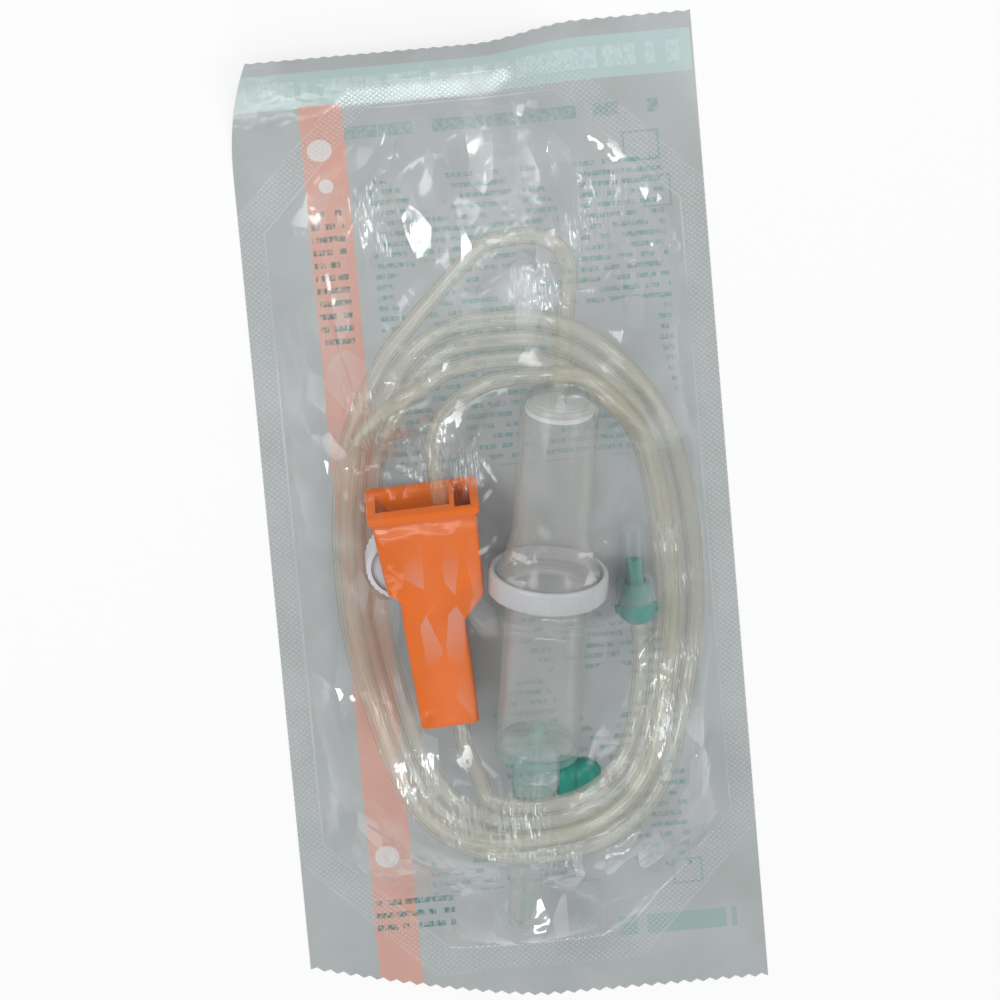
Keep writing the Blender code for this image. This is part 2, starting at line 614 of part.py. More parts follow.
def build_clamp(materials):
    rim_foot = CLAMP_LENGTH - RIM_HEIGHT
    pocket_full = POCKET_FLOOR_HEIGHT + SPIKE_POCKET_RAMP
    back_pocket = CLAMP_BACK_TOP - RIM_OVERHANG
    rim_front = CLAMP_FRONT_TOP - RIM_OVERHANG
    rim_back = CLAMP_BACK_TOP + RIM_OVERHANG
    sections = [
        (0.0, CLAMP_FRONT_LOW, CLAMP_BACK_LOW, CLAMP_HALF_WIDTH),
        (POCKET_FLOOR_HEIGHT - WEB_THICK, CLAMP_FRONT_WAIST, CLAMP_BACK_LOW, CLAMP_HALF_WIDTH),
        (pocket_full, CLAMP_FRONT_WAIST, back_pocket - WEB_THICK / 2, CLAMP_HALF_WIDTH),
        (WAIST_HEIGHT + WEB_THICK, CLAMP_FRONT_WAIST, back_pocket, CLAMP_HALF_WIDTH),
        (SHOULDER_HEIGHT, CLAMP_FRONT_SHOULDER, back_pocket, CLAMP_HALF_WIDTH),
        (rim_foot, CLAMP_FRONT_TOP, CLAMP_BACK_TOP, CLAMP_HALF_WIDTH),
        (rim_foot + RIM_OVERHANG / 2, rim_front, rim_back, RIM_HALF_WIDTH),
        (CLAMP_LENGTH, rim_front, rim_back, RIM_HALF_WIDTH),
    ]
    form = bmesh.new()
    rings = []
    for height, front, back, half_width in sections:
        section = rounded_section(front, back, half_width, CLAMP_CORNER)
        rings.append([form.verts.new((u, height, w)) for u, w in section])
    add_ring_faces(form, rings, closed=False)
    form.faces.new(rings[0])
    form.faces.new(rings[-1])
    housing = finish_mesh("clamp_housing", form, materials["clamp_orange"], CLAMP_MATRIX)

    over = CLAMP_LENGTH + RIM_HEIGHT
    front_wall_low = CLAMP_FRONT_TOP + CHANNEL_FRONT_WALL
    foot_back = tube_u(CHANNEL_FOOT) + TUBE_RADIUS + AXLE_GAP
    channel_outline = [
        (front_wall_low, CHANNEL_FOOT + CHANNEL_FRONT_WALL),
        (CHANNEL_BACK_LOW - TUBE_DIAMETER, CHANNEL_FOOT),
        (foot_back, CHANNEL_FOOT),
        (CHANNEL_BACK_TOP, CHANNEL_BACK_KNEE),
        (CHANNEL_BACK_TOP, over),
        (front_wall_low, over),
    ]
    channel = prism("channel_form", channel_outline, -CHANNEL_HALF_WIDTH, CHANNEL_HALF_WIDTH, CLAMP_MATRIX)
    slot_reach = 2 * CLAMP_FRONT_TOP
    slot_outline = [
        (slot_reach, CHANNEL_FOOT + CHANNEL_FRONT_WALL),
        (0.0, CHANNEL_FOOT + CHANNEL_FRONT_WALL),
        (0.0, SLOT_TOP),
        (slot_reach, SLOT_TOP),
    ]
    slot = prism("slot_form", slot_outline, -CHANNEL_HALF_WIDTH, CHANNEL_HALF_WIDTH, CLAMP_MATRIX)

    pocket_front = CHANNEL_BACK_TOP + WEB_THICK
    pocket_back = back_pocket - SPIKE_POCKET_WALL
    pocket_floor = pocket_full + SPIKE_POCKET_WALL
    pocket_half = RIM_HALF_WIDTH - RIM_OVERHANG - SPIKE_POCKET_WALL
    pocket_outline = [
        (pocket_front, pocket_floor),
        (pocket_back, pocket_floor),
        (CLAMP_BACK_TOP - SPIKE_POCKET_WALL, rim_foot),
        (CLAMP_BACK_TOP - SPIKE_POCKET_WALL, over),
        (pocket_front, over),
    ]
    pocket = prism("spike_pocket_form", pocket_outline, -pocket_half, pocket_half, CLAMP_MATRIX)

    groove_radius = AXLE_RADIUS + AXLE_GAP
    groove_reach = AXLE_REACH + AXLE_GAP
    groove_form = groove_outline(groove_radius)
    groove = prism("axle_groove_form", groove_form, -groove_reach, groove_reach, CLAMP_MATRIX)

    exit_place = Matrix.Translation(Vector((tube_u(0.0), 0.0, 0.0)))
    exit_matrix = CLAMP_MATRIX @ exit_place @ Matrix.Rotation(-math.pi / 2, 4, "X")
    exit_outline = circle_outline(TUBE_EXIT_RADIUS, sides=16)
    exit_hole = prism("tube_exit_form", exit_outline, -2 * WEB_THICK, CHANNEL_FOOT + WEB_THICK, exit_matrix)
    for cutter in (channel, slot, pocket, groove, exit_hole):
        cut(housing, cutter)

    rest = CLAMP_MATRIX @ Vector((ROLLER_REST_U, ROLLER_REST_V, 0.0))
    axle_direction = (CLAMP_MATRIX.to_3x3() @ Vector((0.0, 0.0, 1.0))).normalized()
    roll_direction = (CLAMP_MATRIX.to_3x3() @ Vector((1.0, 0.0, 0.0))).normalized()
    roller_matrix = axis_matrix(rest, axle_direction, roll_direction)
    half, reach, dish = ROLLER_HALF_WIDTH, AXLE_REACH, ROLLER_DISH
    rim = ROLLER_RADIUS - dish
    revolve("clamp_roller", [
        (0.0, -reach),
        (AXLE_RADIUS, -reach),
        (AXLE_RADIUS, -half),
        (ROLLER_HUB, -half),
        (ROLLER_HUB, dish - half),
        (rim, dish - half),
        (rim, -half),
        (ROLLER_RADIUS, -half),
        (ROLLER_RADIUS, half),
        (rim, half),
        (rim, half - dish),
        (ROLLER_HUB, half - dish),
        (ROLLER_HUB, half),
        (AXLE_RADIUS, half),
        (AXLE_RADIUS, reach),
        (0.0, reach),
    ], roller_matrix, materials["roller_white"], segments=2 * ROLLER_RIBS, closed=False,
        ribs=({7, 8}, ROLLER_RIB_DEPTH))


def groove_outline(radius):
    """Round-ended slot along the roller's travel, in the clamp's own plane."""
    start = Vector((ROLLER_REST_U, ROLLER_REST_V))
    end = start + Vector((ROLLER_TRAVEL_U, -ROLLER_TRAVEL_V))
    heading = math.atan2(start.y - end.y, start.x - end.x)
    points = []
    for centre, turn in ((start, heading), (end, heading + math.pi)):
        for step in range(GROOVE_STEPS + 1):
            angle = turn - math.pi / 2 + math.pi * step / GROOVE_STEPS
            points.append((centre.x + radius * math.cos(angle), centre.y + radius * math.sin(angle)))
    return points


def tube_u(v):
    """Middle of the tube where it lies on the channel's sloping back wall."""
    slope = (CHANNEL_BACK_TOP - CHANNEL_BACK_LOW) / CHANNEL_BACK_KNEE
    return CHANNEL_BACK_LOW + slope * v - TUBE_RADIUS - AXLE_GAP


def build_luer(materials):
    lock_wall = LUER_CAP_WALL
    grip_edge = LUER_GRIP_EDGE
    connector = revolve("luer_connector", [
        (SOCKET_RADIUS, 0.0),
        (LUER_GRIP_RADIUS - 2 * grip_edge, 0.0),
        (LUER_GRIP_RADIUS, 2 * grip_edge),
        (LUER_GRIP_RADIUS, LUER_GRIP_LENGTH),
        (LUER_LOCK_RADIUS, LUER_GRIP_LENGTH),
        (LUER_LOCK_RADIUS, LUER_LOCK_END),
        (LUER_LOCK_RADIUS - lock_wall, LUER_LOCK_END),
        (LUER_LOCK_RADIUS - lock_wall, LUER_GRIP_LENGTH),
        (LUER_TAPER_BASE, LUER_GRIP_LENGTH),
        (LUER_TAPER_TIP, LUER_TIP_END),
        (LUER_BORE, LUER_TIP_END),
        (LUER_BORE, LUER_GRIP_LENGTH - grip_edge),
        (SOCKET_RADIUS, LUER_GRIP_LENGTH - grip_edge),
    ], LUER_MATRIX, materials["luer_green"], segments=2 * LUER_GRIP_RIBS, ribs=({2, 3}, LUER_RIB_DEPTH))
    fin_low = 2 * grip_edge
    fin_high = LUER_GRIP_LENGTH - grip_edge / 2
    for side, fin_name in ((1, "right"), (-1, "left")):
        start = side * (LUER_GRIP_RADIUS - LUER_CAP_WALL)
        reach = side * LUER_FIN_REACH
        fin_outline = [
            (start, fin_low),
            (reach, fin_low + grip_edge),
            (reach, fin_high - grip_edge),
            (start, fin_high),
        ]
        fin_matrix = LUER_MATRIX @ Matrix.Rotation(math.pi / 2, 4, "X")
        half_thick = LUER_FIN_HALF_THICK
        fin = prism(f"luer_fin_form_{fin_name}", fin_outline, -half_thick, half_thick, fin_matrix)
        cut(connector, fin, "UNION")

    skirt_low = LUER_GRIP_LENGTH + TOUCH_GAP
    skirt_bore = LUER_LOCK_RADIUS + TOUCH_GAP
    skirt_top = LUER_LOCK_END + TOUCH_GAP
    barrel = LUER_CAP_RADIUS
    end_round = LUER_CAP_WALL
    revolve("luer_cap", [
        (skirt_bore, skirt_low),
        (LUER_CAP_SKIRT, skirt_low),
        (LUER_CAP_SKIRT, skirt_top),
        (barrel, skirt_top + (LUER_CAP_SKIRT - barrel)),
        (barrel - end_round / 2, LUER_CAP_END - end_round),
        (barrel - end_round * 1.5, LUER_CAP_END),
        (0.0, LUER_CAP_END),
        (0.0, LUER_CAP_END - LUER_CAP_WALL),
        (barrel - 2 * LUER_CAP_WALL, LUER_CAP_END - LUER_CAP_WALL),
        (barrel - LUER_CAP_WALL, skirt_top),
        (skirt_bore, skirt_top),
    ], LUER_MATRIX, materials["cap_frosted"], segments=24, closed=False)
    close_pole_loop(bpy.data.objects["luer_cap"])


def build_coil(materials):
    """Ring of wound strands: one strand deep inside, two layers outside."""
    strand = TUBE_DIAMETER + TOUCH_GAP
    quarter = strand / 4
    form = bmesh.new()
    rings = []
    for station in range(COIL_STATIONS):
        angle = 2 * math.pi * station / COIL_STATIONS
        inner = coil_edge(angle, True)
        outer = coil_edge(angle, False)
        across = outer - inner
        width = across.length
        across.normalize()
        section = [
            (0.0, quarter),
            (0.0, strand - quarter),
            (quarter, strand),
            (COIL_STEP, strand),
            (COIL_STEP + quarter, 2 * strand - quarter),
            (COIL_STEP + 2 * quarter, 2 * strand),
            (width - 3 * quarter, 2 * strand),
            (width - quarter, 2 * strand - 2 * quarter),
            (width, strand),
            (width, quarter),
            (width - quarter, 0.0),
            (quarter, 0.0),
        ]
        base = coil_base(inner.y + (outer.y - inner.y) / 2)
        ring = []
        for reach, height in section:
            spot = inner + across * reach
            ring.append(form.verts.new((spot.x, spot.y, base + height)))
        rings.append(ring)
    add_ring_faces(form, rings, closed=True)
    finish_mesh("tubing_coil", form, materials["tube_clear"])


def smooth_route(points, spacing):
    """Reads a smooth curve through the route's points, evenly but for a short straight at each end."""
    fine = []
    count = len(points)
    for index in range(count - 1):
        before = points[max(index - 1, 0)]
        start, end = points[index], points[index + 1]
        after = points[min(index + 2, count - 1)]
        for step in range(ROUTE_STEPS):
            t = step / ROUTE_STEPS
            fine.append(0.5 * (
                2 * start + (end - before) * t
                + (2 * before - 5 * start + 4 * end - after) * t ** 2
                + (3 * start - before - 3 * end + after) * t ** 3
            ))
    fine.append(points[-1])
    lengths = [0.0]
    for first, second in zip(fine, fine[1:]):
        lengths.append(lengths[-1] + (second - first).length)
    whole = lengths[-1]
    wanted = max(2, round(whole / spacing))
    targets = [whole * step / wanted for step in range(wanted + 1)]
    targets[1:1] = [TUBE_RADIUS]
    targets[-1:-1] = [whole - TUBE_RADIUS]
    even = []
    place = 0
    for target in targets:
        while place < len(lengths) - 2 and lengths[place + 1] < target:
            place += 1
        span = lengths[place + 1] - lengths[place]
        even.append(fine[place].lerp(fine[place + 1], (target - lengths[place]) / span))
    return even


def build_tube(name, points, material):
    curve = bpy.data.curves.new(name, "CURVE")
    curve.dimensions = "3D"
    curve.bevel_depth = TUBE_RADIUS
    curve.bevel_resolution = TUBE_SIDES_RESOLUTION
    curve.use_fill_caps = True
    even = smooth_route([Vector(point) for point in points], TUBE_STATION)
    spline = curve.splines.new("POLY")
    spline.points.add(len(even) - 1)
    for spot, point in zip(spline.points, even):
        spot.co = (*point, 1.0)
    curve.materials.append(material)
    tube = bpy.data.objects.new(name, curve)
    bpy.context.scene.collection.objects.link(tube)
    return tube


def build_tubing(materials, nozzle_end, boss_top):
    clear = materials["tube_clear"]
    start = CHAMBER_ORIGIN + CHAMBER_ALONG * (boss_top + TOUCH_GAP)
    past_nozzle = CHAMBER_ORIGIN + CHAMBER_ALONG * (nozzle_end + TUBE_DIAMETER)
    lead = [start, past_nozzle, *LEAD_ROUTE]
    lead += [coil_neighbour(angle, False) for angle in LEAD_END_ANGLES]
    build_tube("tubing_lead", lead, clear)

    def in_clamp(v):
        return CLAMP_MATRIX @ Vector((tube_u(min(v, CHANNEL_BACK_KNEE)), v, 0.0))

    through = [in_clamp(0.0), in_clamp(CHANNEL_BACK_KNEE), in_clamp(CLAMP_LENGTH)]
    build_tube("tubing_in_clamp", through, clear)

    out_high = CLAMP_LENGTH + TOUCH_GAP
    to_clamp = [in_clamp(out_high), in_clamp(out_high + TUBE_RADIUS), *TO_CLAMP_ROUTE]
    to_clamp += [coil_neighbour(angle, True) for angle in TO_CLAMP_END_ANGLES]
    build_tube("tubing_to_clamp", to_clamp, clear)

    out_low = -TOUCH_GAP
    from_clamp = [in_clamp(out_low), in_clamp(out_low - TUBE_RADIUS), *FROM_CLAMP_ROUTE]
    from_clamp += [coil_neighbour(angle, True) for angle in FROM_CLAMP_END_ANGLES]
    build_tube("tubing_from_clamp", from_clamp, clear)

    socket_floor = LUER_GRIP_LENGTH - LUER_GRIP_EDGE
    tail = [
        LUER_ORIGIN + LUER_ALONG * (socket_floor - TOUCH_GAP),
        LUER_ORIGIN - LUER_ALONG * TUBE_RADIUS / 2,
        *TAIL_ROUTE,
    ]
    tail += [coil_neighbour(angle, True) for angle in TAIL_END_ANGLES]
    build_tube("tubing_tail", tail, clear)


# Pouch

def outline_bottom(x):
    """The lower edge is cut square on the right and at a slant on the left."""
    along = min(1.0, max(0.0, (POUCH_WIDTH / 2 + x) / SLANT_WIDTH))
    return POUCH_BOTTOM + SLANT_RISE * (1.0 - along) ** SLANT_POWER


def curl_height(x, y):
    """The upper left part of the sheets curls up off the table."""
    reach = max(0.0, (y - CURL_START_Y) / (POUCH_TOP - CURL_START_Y))
    return CURL_RISE * reach ** 2 * smooth_step((CURL_END_X - x) / CURL_FADE)


def seal_distance(x, y):
    """Distance inside the pocket's octagon, negative on the seal."""
    side = POCKET_HALF_WIDTH - abs(x)
    end = POCKET_TOP - y if y > 0 else y - POCKET_BOTTOM
    diagonal = math.hypot(POCKET_CORNER_X, POCKET_CORNER_Y)
    corner = (side * POCKET_CORNER_Y + end * POCKET_CORNER_X - POCKET_CORNER_X * POCKET_CORNER_Y) / diagonal
    return min(side, end, corner)


def sheet_lines():
    """Shared columns and rows of the two sheets, close together at the pocket's edge."""
    half = POUCH_WIDTH / 2
    inner = POCKET_HALF_WIDTH - POCKET_EDGE_STRIP
    columns = [-half, -POCKET_HALF_WIDTH]
    columns += [-inner + 2 * inner * step / FILM_COLUMNS for step in range(FILM_COLUMNS + 1)]
    columns += [POCKET_HALF_WIDTH, half]
    row_height = (POCKET_TOP - POCKET_BOTTOM) / FILM_ROWS
    rows = [POCKET_BOTTOM + row_height * step for step in range(FILM_ROWS + 1)]
    margin = (POUCH_TOP - POCKET_TOP) / 3
    rows += [POCKET_TOP + margin, POCKET_TOP + 2 * margin]
    return columns, rows


def sheet_points(columns, rows):
    """Every row as (x, y) points, with the cut edges of the sheet as first and last row."""
    grid = [[(x, outline_bottom(x)) for x in columns]]
    for y in rows:
        grid.append([(x, y) for x in columns])
    grid.append([(x, POUCH_TOP) for x in columns])
    return grid


def sheet_solid(name, grid, lower, upper, material, merge_flat):
    form = bmesh.new()
    layers = []
    for heights in (lower, upper):
        layer = []
        for row, row_heights in zip(grid, heights):
            layer.append([form.verts.new((x, y, height)) for (x, y), height in zip(row, row_heights)])
        layers.append(layer)
    row_count, column_count = len(grid), len(grid[0])
    for layer in layers:
        for row in range(row_count - 1):
            for column in range(column_count - 1):
                a, b = layer[row][column], layer[row][column + 1]
                c, d = layer[row + 1][column + 1], layer[row + 1][column]
                form.faces.new((a, b, c))
                form.faces.new((a, c, d))
    border = [(0, column) for column in range(column_count)]
    border += [(row, column_count - 1) for row in range(1, row_count)]
    border += [(row_count - 1, column) for column in reversed(range(column_count - 1))]
    border += [(row, 0) for row in reversed(range(1, row_count - 1))]
    loops = [[layer[row][column] for row, column in border] for layer in layers]
    add_ring_faces(form, loops, closed=False)
    if merge_flat:
        bmesh.ops.dissolve_limit(form, angle_limit=math.radians(0.01), verts=form.verts, edges=form.edges)
        bmesh.ops.triangulate(form, faces=form.faces)
    return finish_mesh(name, form, material, smooth_angle=50.0)


def content_tree():
    """One search tree of everything that lies in the pouch, with the roller along its travel."""
    graph = bpy.context.evaluated_depsgraph_get()
    travel = CLAMP_MATRIX.to_3x3() @ Vector((ROLLER_TRAVEL_U, -ROLLER_TRAVEL_V, 0.0))
    vertices, faces = [], []
    for piece in bpy.context.scene.objects:
        if piece.hide_render:
            continue
        evaluated = piece.evaluated_get(graph)
        mesh = evaluated.to_mesh()
        stops = ROLLER_STOPS if piece.name == "clamp_roller" else 0
        for stop in range(stops + 1):
            shift = travel * stop / max(stops, 1)
            offset = len(vertices)
            vertices += [piece.matrix_world @ vertex.co + shift for vertex in mesh.vertices]
            faces += [[offset + index for index in polygon.vertices] for polygon in mesh.polygons]
        evaluated.to_mesh_clear()
    return BVHTree.FromPolygons(vertices, faces)


def drape_heights(grid, tree):
    """Height of the film over the paper: over each piece, then down to the seal."""
    row_count, column_count = len(grid), len(grid[0])
    needed = [[0.0] * column_count for _ in range(row_count)]
    ceiling = Vector((0.0, 0.0, 0.1))
    for row in range(row_count - 1):
        for column in range(column_count - 1):
            (x0, y0), (x1, y1) = grid[row][column], grid[row + 1][column + 1]
            highest = 0.0
            for step_x in range(FILM_SAMPLES + 1):
                for step_y in range(FILM_SAMPLES + 1):
                    x = x0 + (x1 - x0) * step_x / FILM_SAMPLES
                    y = y0 + (y1 - y0) * step_y / FILM_SAMPLES
                    hit = tree.ray_cast(Vector((x, y, 0.0)) + ceiling, Vector((0.0, 0.0, -1.0)))[0]
                    if hit:
                        highest = max(highest, hit.z)
            if highest > 0.0:
                lift = highest + FILM_GAP - PAPER_TOP - TOUCH_GAP
                for r, c in ((row, column), (row, column + 1), (row + 1, column), (row + 1, column + 1)):
                    needed[r][c] = max(needed[r][c], lift)
    heights = [[0.0] * column_count for _ in range(row_count)]
    sources = []
    for r in range(row_count):
        sources += [(spot, lift) for spot, lift in zip(grid[r], needed[r]) if lift > 0.0]
    for r in range(row_count):
        for c in range(column_count):
            x, y = grid[r][c]
            distance = seal_distance(x, y)
            if distance <= 1e-6:
                continue
            pillow = POCKET_PILLOW * smooth_step(distance / POCKET_PILLOW_REACH)
            tent = max(lift - FILM_SLOPE * math.hypot(x - sx, y - sy) for (sx, sy), lift in sources)
            heights[r][c] = max(needed[r][c], min(max(pillow, tent), 2 * FILM_SLOPE * distance))
    for _ in range(FILM_SMOOTHING):
        smoothed = [list(row) for row in heights]
        for r in range(1, row_count - 1):
            for c in range(1, column_count - 1):
                if heights[r][c] <= 0.0:
                    continue
                around = (heights[r - 1][c] + heights[r + 1][c] + heights[r][c - 1] + heights[r][c + 1]) / 4
                smoothed[r][c] = max(needed[r][c], (heights[r][c] + around) / 2)
        heights = smoothed
    return heights


def film_surfaces(grid, heights):
    """Lower and upper height of the film, thicker upright where it is steep."""
    row_count, column_count = len(grid), len(grid[0])
    lower, upper = [], []
    for r in range(row_count):
        lower_row, upper_row = [], []
        for c in range(column_count):
            x, y = grid[r][c]
            west, east = max(c - 1, 0), min(c + 1, column_count - 1)
            south, north = max(r - 1, 0), min(r + 1, row_count - 1)
            slope_x = (heights[r][east] - heights[r][west]) / (grid[r][east][0] - grid[r][west][0])
            slope_y = (heights[north][c] - heights[south][c]) / (grid[north][c][1] - grid[south][c][1])
            steepness = min(FILM_STEEPEST, math.sqrt(1.0 + slope_x ** 2 + slope_y ** 2))
            base = PAPER_TOP + TOUCH_GAP + curl_height(x, y) + heights[r][c]
            lower_row.append(base)
            upper_row.append(base + FILM_THICK * steepness)
        lower.append(lower_row)
        upper.append(upper_row)
    return lower, upper


def build_pouch(materials):
    columns, rows = sheet_lines()
    grid = sheet_points(columns, rows)
    heights = drape_heights(grid, content_tree())
    lower, upper = film_surfaces(grid, heights)
    sheet_solid("pouch_film", grid, lower, upper, materials["film"], merge_flat=False)
    paper_low = [[curl_height(x, y) for x, y in row] for row in grid]
    paper_high = [[height + PAPER_THICK for height in row] for row in paper_low]
    sheet_solid("pouch_paper", grid, paper_low, paper_high, materials["paper"], merge_flat=True)


def build():
    clear_scene()
    materials = {
        "paper": make_material("paper", (0.72, 0.75, 0.75), 0.85),
        "film": make_material("film", (0.95, 0.97, 0.97), 0.15, alpha=0.25, transmission=0.6),
        "clear_rigid": make_material("clear_rigid", (0.90, 0.93, 0.92), 0.1, alpha=0.4, transmission=0.8),
        "clear_soft": make_material("clear_soft", (0.90, 0.92, 0.90), 0.2, alpha=0.45, transmission=0.7),
        "tube_clear": make_material("tube_clear", (0.78, 0.76, 0.66), 0.25, alpha=0.7, transmission=0.5),
        "ring_white": make_material("ring_white", (0.85, 0.84, 0.87), 0.35),
        "roller_white": make_material("roller_white", (0.86, 0.86, 0.88), 0.4),
        "filter_white": make_material("filter_white", (0.88, 0.88, 0.86), 0.8),
        "spike_tint": make_material("spike_tint", (0.62, 0.84, 0.78), 0.3, alpha=0.8, transmission=0.3),
        "cap_frosted": make_material("cap_frosted", (0.84, 0.88, 0.86), 0.5, alpha=0.6, transmission=0.5),
        "cap_green": make_material("cap_green", (0.01, 0.29, 0.21), 0.35),
        "luer_green": make_material("luer_green", (0.01, 0.32, 0.24), 0.35),
        "clamp_orange": make_material("clamp_orange", (0.80, 0.17, 0.03), 0.35),
    }
    nozzle_end, boss_top = build_chamber(materials)
    build_spike(materials)
    build_clamp(materials)
    build_luer(materials)
    build_coil(materials)
    build_tubing(materials, nozzle_end, boss_top)
    bpy.context.view_layer.update()
    build_pouch(materials)


build()
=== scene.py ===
"""Infusion set in its sealed peel pouch, dressed for the studio: wound tubing, draped and
creased film, printed paper backing, and the mouldings inside with their own finishes."""
import json
import math

import bmesh
import bpy
import numpy as np
from mathutils import Matrix, Vector
from mathutils.bvhtree import BVHTree

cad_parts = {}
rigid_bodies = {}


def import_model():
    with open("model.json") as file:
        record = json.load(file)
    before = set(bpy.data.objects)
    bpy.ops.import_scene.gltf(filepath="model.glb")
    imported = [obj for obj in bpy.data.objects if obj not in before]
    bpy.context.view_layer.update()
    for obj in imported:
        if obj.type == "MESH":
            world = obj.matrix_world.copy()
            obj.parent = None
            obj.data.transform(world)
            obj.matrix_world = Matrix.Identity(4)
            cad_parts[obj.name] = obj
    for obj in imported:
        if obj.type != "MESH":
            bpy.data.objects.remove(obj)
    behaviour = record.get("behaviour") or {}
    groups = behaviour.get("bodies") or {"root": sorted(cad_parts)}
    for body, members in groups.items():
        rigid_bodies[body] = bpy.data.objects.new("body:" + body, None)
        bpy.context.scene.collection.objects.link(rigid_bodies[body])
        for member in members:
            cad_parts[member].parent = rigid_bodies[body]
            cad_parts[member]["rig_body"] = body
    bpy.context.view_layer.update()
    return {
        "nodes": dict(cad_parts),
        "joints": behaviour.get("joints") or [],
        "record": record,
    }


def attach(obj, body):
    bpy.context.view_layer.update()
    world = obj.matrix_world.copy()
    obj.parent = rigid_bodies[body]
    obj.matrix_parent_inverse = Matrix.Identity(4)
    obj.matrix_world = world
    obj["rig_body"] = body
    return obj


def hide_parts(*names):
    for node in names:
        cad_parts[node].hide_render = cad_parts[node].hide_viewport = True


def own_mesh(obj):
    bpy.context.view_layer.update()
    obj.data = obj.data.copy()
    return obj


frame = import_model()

# Camera, set by the photograph: its middle falls on this point of the pouch
PHOTO_MIDDLE = Vector((0.0006, 0.0056, 0.0))
PHOTO_ELEVATION = math.radians(65.0)
PHOTO_ROLL = math.radians(5.1)
PHOTO_WIDTH = 0.2442
CAMERA_DISTANCE = 3.2
SENSOR_WIDTH = 36.0

# Heights and clearances of the pack
TOUCH_GAP = 0.0003
PAPER_THICK = 0.00025
REST_HEIGHT = PAPER_THICK + TOUCH_GAP

# Pouch outline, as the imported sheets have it
POUCH_HALF_WIDTH = 0.0565
POUCH_TOP = 0.1307
POUCH_BOTTOM = -0.1307
SLANT_RISE = 0.013
SLANT_WIDTH = 0.058
SLANT_BEND = 1.3
CURL_RISE = 0.009
CURL_START_Y = 0.098
CURL_END_X = 0.030
CURL_FADE = 0.028
CURL_DRAW = 0.0055
CURL_DRAW_FADE = 2 * CURL_FADE + POUCH_HALF_WIDTH - CURL_END_X
POCKET_HALF_WIDTH = 0.0505
POCKET_TOP = 0.1135
POCKET_BOTTOM = -0.1145
POCKET_CORNER_X = 0.0283
POCKET_CORNER_Y = 0.0315
SEAL_WIDTH = 0.0078
SEAL_EDGE = 0.0004
KNURL_ACROSS = 0.0015
KNURL_ALONG = 0.0014
OVAL_HALF_WIDTH = 0.0492
OVAL_HALF_LENGTH = 0.1125
TEETH = 35
TOOTH_COLUMNS = 4
TOOTH_DEPTH = 0.0009
SHEET_ROWS = 306
SEAL_ROWS = 18
SEAL_ROW_INSET = 0.002
SHEET_SHARP_ANGLE = math.radians(60.0)

# Tube
TUBE_DIAMETER = 0.0041
TUBE_RADIUS = TUBE_DIAMETER / 2
TUBE_BORE_RADIUS = 0.0014
TUBE_SIDES = 14
PATH_STEP = 0.0032
PATH_PARTS = 12
PATH_SMOOTHING = 10

# Drip chamber
CHAMBER_TURN = math.radians(8.0)
RING_MIDDLE = Vector((0.0105, -0.0101, REST_HEIGHT + 0.01475))
OUTLET_SOCKET = 0.0507
OUTLET_END = 0.0567
SPIKE_CAP_COLLAR = 0.0056

# Roller clamp
CLAMP_FOOT = Vector((-0.0164, -0.0467, REST_HEIGHT + 0.0069))
CLAMP_TURN = math.radians(2.5)
CLAMP_TILT = math.radians(5.456)
CLAMP_LENGTH = 0.061
CHANNEL_BACK_LOW = 0.0048
CHANNEL_BACK_TOP = 0.0073
CHANNEL_BACK_KNEE = 0.0457
TUBE_BACK_GAP = 0.00015
INNER_TUBE_LOW = 0.0040
INNER_TUBE_HIGH = 0.0530

# Luer connector
LUER_FOOT = Vector((0.0315, -0.0276, REST_HEIGHT + 0.0047))
LUER_TURN = math.radians(1.4)
LUER_SOCKET = 0.0042

# Coil of tubing: inner and outer edge of its turns, angles in degrees, lanes counted from inside
COIL_INNER = {"left": -0.0290, "right": 0.0363, "top": 0.0501, "bottom": -0.0690}
COIL_OUTER = {"left": -0.0428, "right": 0.0490, "top": 0.0690, "bottom": -0.0858}
COIL_SQUARENESS = 2.45
COIL_MIDDLE_Y = -0.0087
COIL_RISE_START = 0.028
COIL_RISE_END = 0.058
COIL_TURNS = 4
COIL_START = 116.0
COIL_FINISH = 94.0
SHIFT_START = 100.0
SHIFT_END = 152.0
LEAVE_START = 52.0
SWERVE_START = 100.0
SWERVE_END = 226.0
SWERVE_EASE = 58.0
SWERVE_LANES = 1.10
RISE_LANES = 1.5
LEAVE_LANES = 1.55
STATION = 5.0
LANES_ACROSS = 2.75
LEAST_PITCH = 1.03
STACKED_PITCH = 1.02
INNER_LANE_PITCH = 1.04

# Free stretches of the tubing: x, y and height of its middle
LEAD_ROUTE = (
    (0.0208, 0.0640, 0.0156),
    (0.0221, 0.0705, 0.0160),
    (0.0214, 0.0765, 0.0168),
    (0.0182, 0.0812, 0.0176),
    (0.0128, 0.0835, 0.0184),
    (0.0060, 0.0834, 0.0192),
    (-0.0010, 0.0805, 0.0198),
)
TO_CLAMP_ROUTE = (
    (-0.0085, 0.0410, 0.0182),
    (-0.0130, 0.0345, 0.0166),
    (-0.0146, 0.0270, 0.0152),
    (-0.0142, 0.0200, 0.0142),
)
FROM_CLAMP_ROUTE = (
    (-0.0137, -0.0525, 0.0092),
    (-0.0128, -0.0565, 0.0128),
    (-0.0105, -0.0600, 0.0170),
)
TAIL_ROUTE = (
    (0.0319, -0.0370, 0.0040),
    (0.0319, -0.0320, 0.0048),
)
INNER_LANE_START = 250.0
INNER_LANE_END = 324.0

